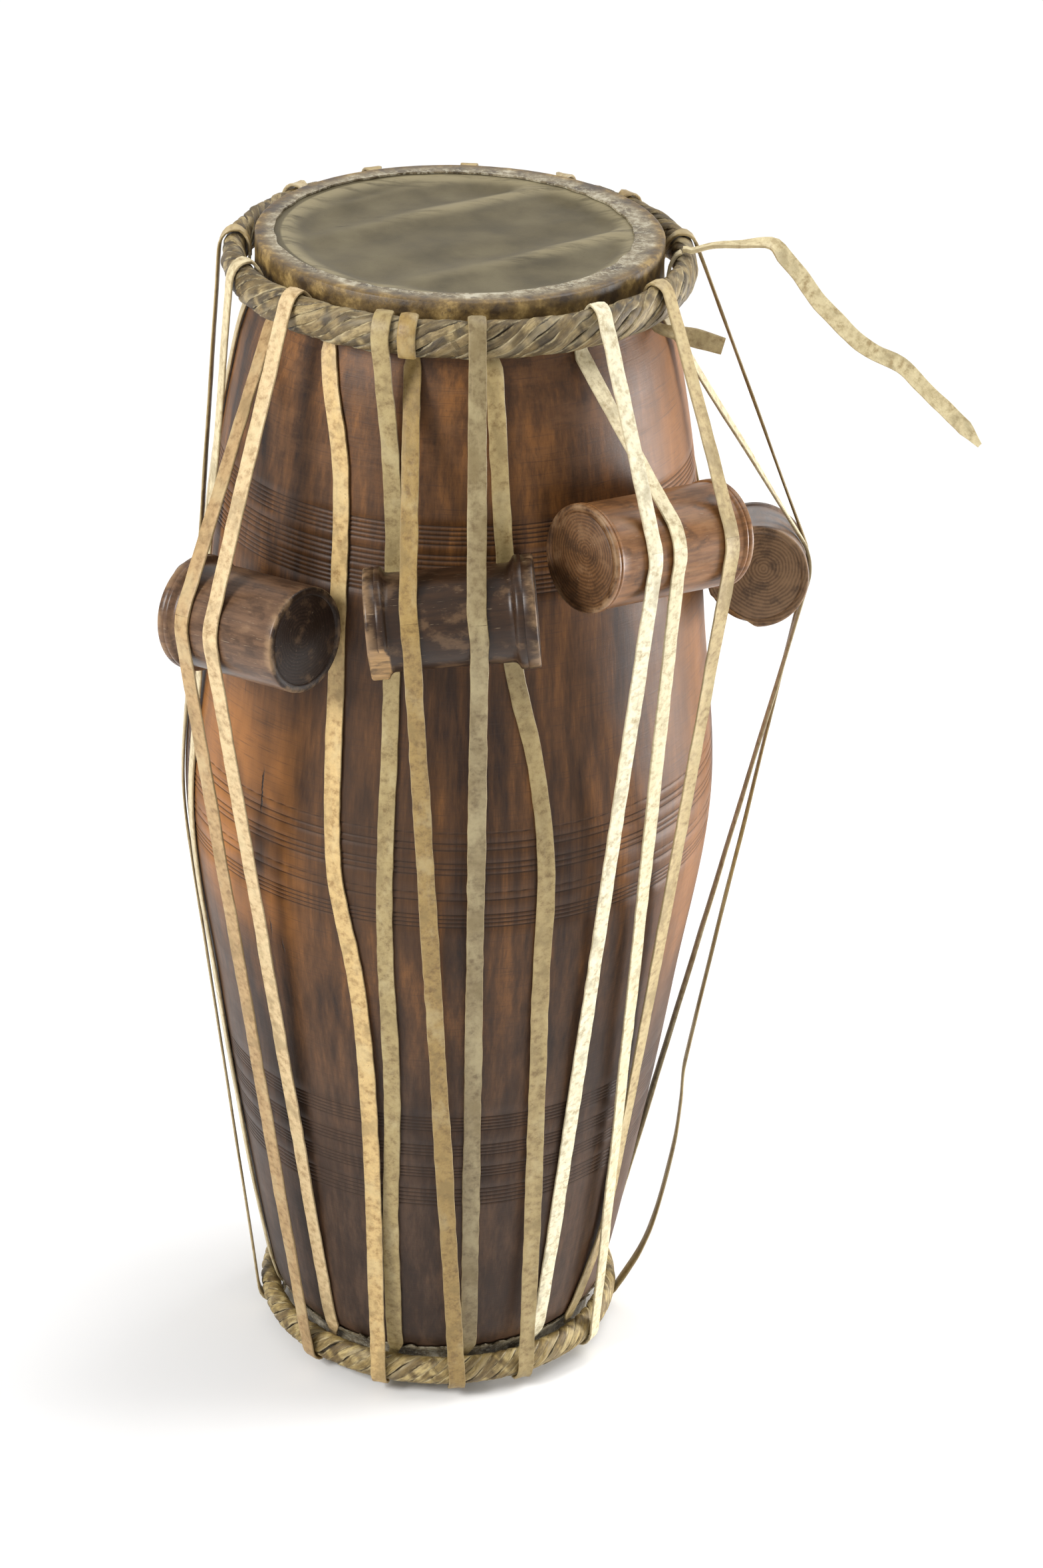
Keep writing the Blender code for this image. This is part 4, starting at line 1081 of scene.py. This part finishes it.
def inner_anchor(hoop, angle):
    """Where a strap that passes behind a hoop comes clear of it."""
    height = hoop.height - hoop.side * hoop.half_height * 1.75
    return polar(seat_radius(height) + STRAP_OFFSET * 1.2, radians(angle), height)


def outer_anchor(hoop, angle):
    """Where a strap lies on the outermost line of a hoop."""
    return hoop.strap_point(angle, 0.0)


def leave_turn(hoop, anchor, away):
    """Degrees from a hoop's outermost line at which a strap to another point leaves it."""
    outwards = hypot(away.x, away.y) - hypot(anchor.x, anchor.y)
    drop = abs(away.z - anchor.z)
    slope = max(outwards, 0.0) / drop * hoop.half_height / hoop.half_width
    return degrees(atan(slope))


def over_hoop(hoop, out_angle, in_angle, start_turn):
    """Stations of a strap from the outer side of a hoop to the middle of its inner side."""
    shift = (in_angle - out_angle + 180) % 360 - 180
    steps = max(1, round((90 - start_turn) / 18))
    stations = []
    for i in range(steps):
        turn = start_turn + (90 - start_turn) * i / steps
        stations.append(Station(hoop.strap_point(out_angle, turn), sideways(radians(out_angle))))
    for turn, share, width_share in ((90, 0.0, 0.0), (108, 0.0, 0.7), (126, 0.02, 1.0),
                                     (144, 0.07, 1.0), (162, 0.17, 1.0), (180, 0.34, 1.0)):
        angle = radians(out_angle + shift * share)
        width = STRAP_WIDTH + (SLOT_WIDTH - STRAP_WIDTH) * width_share
        stations.append(Station(hoop.strap_point(degrees(angle), turn), sideways(angle), width))
    return stations


def behind_hoop(hoop, out_angle, in_angle):
    """Stations of a strap from the middle of a hoop's inner side to where it comes clear."""
    shift = (in_angle - out_angle + 180) % 360 - 180
    stations = [over_hoop(hoop, out_angle, in_angle, 0.0)[-1]]
    for share_of_height, share, width_share in ((0.55, 0.60, 1.0), (1.15, 0.86, 0.8)):
        height = hoop.height - hoop.side * hoop.half_height * share_of_height
        angle = radians(out_angle + shift * share)
        width = STRAP_WIDTH + (SLOT_WIDTH - STRAP_WIDTH) * width_share
        seat = seat_radius(height) + STRAP_OFFSET
        if share_of_height < 1:
            seat = (seat + hoop.inner_limit(height) - STRAP_OFFSET) / 2
        stations.append(Station(polar(seat, angle, height), sideways(angle), width))
    stations.append(Station(inner_anchor(hoop, in_angle), sideways(radians(in_angle))))
    return stations


def behind_treble_hoop(number):
    """Whether a run passes behind the treble hoop, and not over it."""
    return (number % 2 == 0) != (number in SWAPPED_AT_TREBLE)


def run_ends(number):
    """The two end points of a run, at the bass hoop and at the treble hoop."""
    top_angle, bottom_angle = RUNS[number]
    top_anchor = inner_anchor if number % 2 else outer_anchor
    bottom_anchor = inner_anchor if behind_treble_hoop(number) else outer_anchor
    return top_anchor(BASS_HOOP, top_angle), bottom_anchor(TREBLE_HOOP, bottom_angle)


def plain_run(number, top, bottom):
    """Stations of a run that lies on the shell, pressed down where a block crosses it."""
    top_angle, bottom_angle = RUNS[number]
    marks = [(bottom.z, radians(bottom_angle))]
    marks += [(height, radians(angle)) for height, angle in WAYPOINTS.get(number, ())][::-1]
    marks.append((top.z, radians(top_angle)))

    def angle_at(height):
        return smooth_through(marks, height)

    if number not in UNDER_BLOCK:
        points = taut_stretch(top, bottom, angle_at)
    else:
        pressed = BLOCK_BY_NAME[UNDER_BLOCK[number]]
        reach = max(rim[0] for rim in pressed.rims) + 0.006
        heights = [pressed.height + reach, pressed.height, pressed.height - reach]
        held = [polar(seat_radius(height) + STRAP_OFFSET, angle_at(height), height)
                for height in heights]
        points = taut_stretch(top, held[0], angle_at) + held
        points += taut_stretch(held[-1], bottom, angle_at)
    return [Station(point, sideways(at_angle(point))) for point in points]


def block_run(number, top, bottom):
    """Stations of a run over a block, and which of them is the middle of its wrap."""
    block_name, offset = OVER_BLOCK[number]
    crossed = BLOCK_BY_NAME[block_name]
    slack = [polar(seat_radius(height) + STRAP_OFFSET + stand_off, radians(angle), height)
             for height, angle, stand_off in SLACK_POINTS.get(number, ())]
    way_down = slack + [bottom]
    turn = crossed.strap_turn(offset, top, way_down[0])
    before = [Station(point, sideways(at_angle(point))) for point in taut_stretch(top, turn[0])]
    wrap = [Station(point, crossed.along) for point in turn]
    rest = []
    for upper, lower in zip([turn[-1]] + slack, way_down):
        rest += taut_stretch(upper, lower) + [lower]
    after = [Station(point, sideways(at_angle(point))) for point in rest[:-1]]
    return before, wrap, after


def neighbour(number, at_bass):
    """The run that a run turns into at one of its ends, or None where the lace ends there."""
    runs = FRONT_LACE_RUNS if number in FRONT_LACE_RUNS else LONG_LACE_RUNS
    place = runs.index(number)
    place += -1 if at_bass == (number % 2 == 1) else 1
    return runs[place] if 0 <= place < len(runs) else None


def bass_end(number, below):
    """Stations at the bass hoop of a run, from above down to the run itself."""
    angle = RUNS[number][0]
    other = neighbour(number, True)
    if number % 2:
        if number == FRONT_LACE_RUNS[0]:
            start = over_hoop(BASS_HOOP, angle, angle, -CUT_END_REACH)
            return start + behind_hoop(BASS_HOOP, angle, angle)[1:]
        if other is None:
            start = over_hoop(BASS_HOOP, TAIL_ANGLE, angle, 72)[2:]
            return start + behind_hoop(BASS_HOOP, TAIL_ANGLE, angle)[1:]
        return behind_hoop(BASS_HOOP, RUNS[other][0], angle)
    turn = leave_turn(BASS_HOOP, outer_anchor(BASS_HOOP, angle), below)
    if number != FRONT_LACE_RUNS[-1]:
        in_angle = angle if other is None else RUNS[other][0]
        return over_hoop(BASS_HOOP, angle, in_angle, turn)[::-1]
    finish = over_hoop(BASS_HOOP, angle, STUB_ANGLE, turn)
    finish += behind_hoop(BASS_HOOP, angle, STUB_ANGLE)[1:]
    root = finish[-1].middle + polar(STRAP_THICKNESS / 2, radians(STUB_ANGLE), 0.0)
    finish[-1].middle = root
    stub_end = Vector(STUB_END)
    for share in (0.30, 0.65, 1.0):
        across = finish[-1].across.lerp(Vector((0.0, 0.0, 1.0)), share)
        finish.append(Station(root.lerp(stub_end, share), across))
    return finish[::-1]


def treble_end(number, above):
    """Stations at the treble hoop of a run, from the run itself downwards."""
    angle = RUNS[number][1]
    other = neighbour(number, False)
    if behind_treble_hoop(number):
        out_angle = angle if other is None else RUNS[other][1]
        return behind_hoop(TREBLE_HOOP, out_angle, angle)[::-1]
    in_angle = angle if other is None else RUNS[other][1]
    turn = leave_turn(TREBLE_HOOP, outer_anchor(TREBLE_HOOP, angle), above)
    return over_hoop(TREBLE_HOOP, angle, in_angle, turn)


def make_run(number):
    top, bottom = run_ends(number)
    tone = RUN_TONES.get(number, OTHER_TONES[number % len(OTHER_TONES)])
    curl = RUN_CURLS.get(number, (0.0002, 0.0002))
    node = "front_lace" if number in FRONT_LACE_RUNS else "long_lace"
    seed = number * 1.37
    if number in OVER_BLOCK:
        before, wrap, after = block_run(number, top, bottom)
        run = before + wrap + after
    else:
        run = plain_run(number, top, bottom)
    head = bass_end(number, run[0].middle)
    foot = treble_end(number, run[-1].middle)
    fine, marks = refined(head + run + foot)
    name = f"strap_{number:02d}"
    if number not in OVER_BLOCK:
        built = bmesh.new()
        build_ribbon(built, fine, tone, seed, curl)
        piece = add_piece(name, built, LACE_RAWHIDE)
        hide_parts(node)
        return
    first_wrap = len(head) + len(before)
    last_wrap = first_wrap + len(wrap) - 1
    cut = marks[(first_wrap + last_wrap) // 2]
    travelled = sum((b.middle - a.middle).length for a, b in zip(fine[:cut], fine[1:cut + 1]))
    halves = (("_upper", fine[:cut + 1], 0.0, top, wrap[0].middle),
              ("_lower", fine[cut:], travelled, bottom, wrap[-1].middle))
    for ending, stations, start, fixed, carried in halves:
        built = bmesh.new()
        build_ribbon(built, stations, tone, seed, curl, start)
        piece = add_piece(name + ending, built, LACE_RAWHIDE, None)
        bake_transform(piece)
        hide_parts(node)


for number in RUNS:
    make_run(number)

# Floor: a plain white sheet that the camera sees as white and that keeps the drum's shadow.
sheet = bmesh.new()
bmesh.ops.create_grid(sheet, x_segments=1, y_segments=1, size=6.0)
floor_mesh = bpy.data.meshes.new("floor")
sheet.to_mesh(floor_mesh)
sheet.free()
floor = bpy.data.objects.new("floor", floor_mesh)
bpy.context.collection.objects.link(floor)
floor_paint, floor_shader = new_material("floor_paint")
floor_shader.inputs["Base Color"].default_value = (0.93, 0.93, 0.93, 1.0)
floor_shader.inputs["Roughness"].default_value = 0.9
floor_mesh.materials.append(floor_paint)

# Light: a white room lit from overhead, with a soft lamp on the left and one behind at the right.
ROOM_LIGHT = 0.44
world = bpy.data.worlds.new("world")
world.use_nodes = True
bpy.context.scene.world = world
Value.tree = world.node_tree
background = world.node_tree.nodes["Background"]
background.inputs["Color"].default_value = (1.0, 1.0, 1.0, 1.0)
rays = Value.node("ShaderNodeLightPath")
seen = Value(rays.socket.node.outputs["Is Camera Ray"])
for ray in ("Is Glossy Ray", "Is Transmission Ray"):
    seen = seen.maths("MAXIMUM", Value(rays.socket.node.outputs[ray]))
feed(background, "Strength", seen * (1.0 - ROOM_LIGHT) + ROOM_LIGHT)
LAMPS = (("key", (-1.5, -1.2, 1.5), 0.7, 44.0), ("rim", (1.7, 0.2, 0.31), 0.55, 29.0))
for name, place, size, power in LAMPS:
    lamp_data = bpy.data.lights.new(name, "AREA")
    lamp_data.size = size
    lamp_data.energy = power
    lamp = bpy.data.objects.new(name, lamp_data)
    lamp.location = place
    lamp.rotation_euler = (Vector((0, 0, 0.35)) - Vector(place)).to_track_quat("-Z", "Y").to_euler()
    bpy.context.collection.objects.link(lamp)
overhead_data = bpy.data.lights.new("overhead", "SUN")
overhead_data.energy = 2.1
overhead_data.angle = radians(50)
overhead = bpy.data.objects.new("overhead", overhead_data)
overhead.rotation_euler = Vector((-0.55, -0.30, -1.0)).to_track_quat("-Z", "Y").to_euler()
bpy.context.collection.objects.link(overhead)
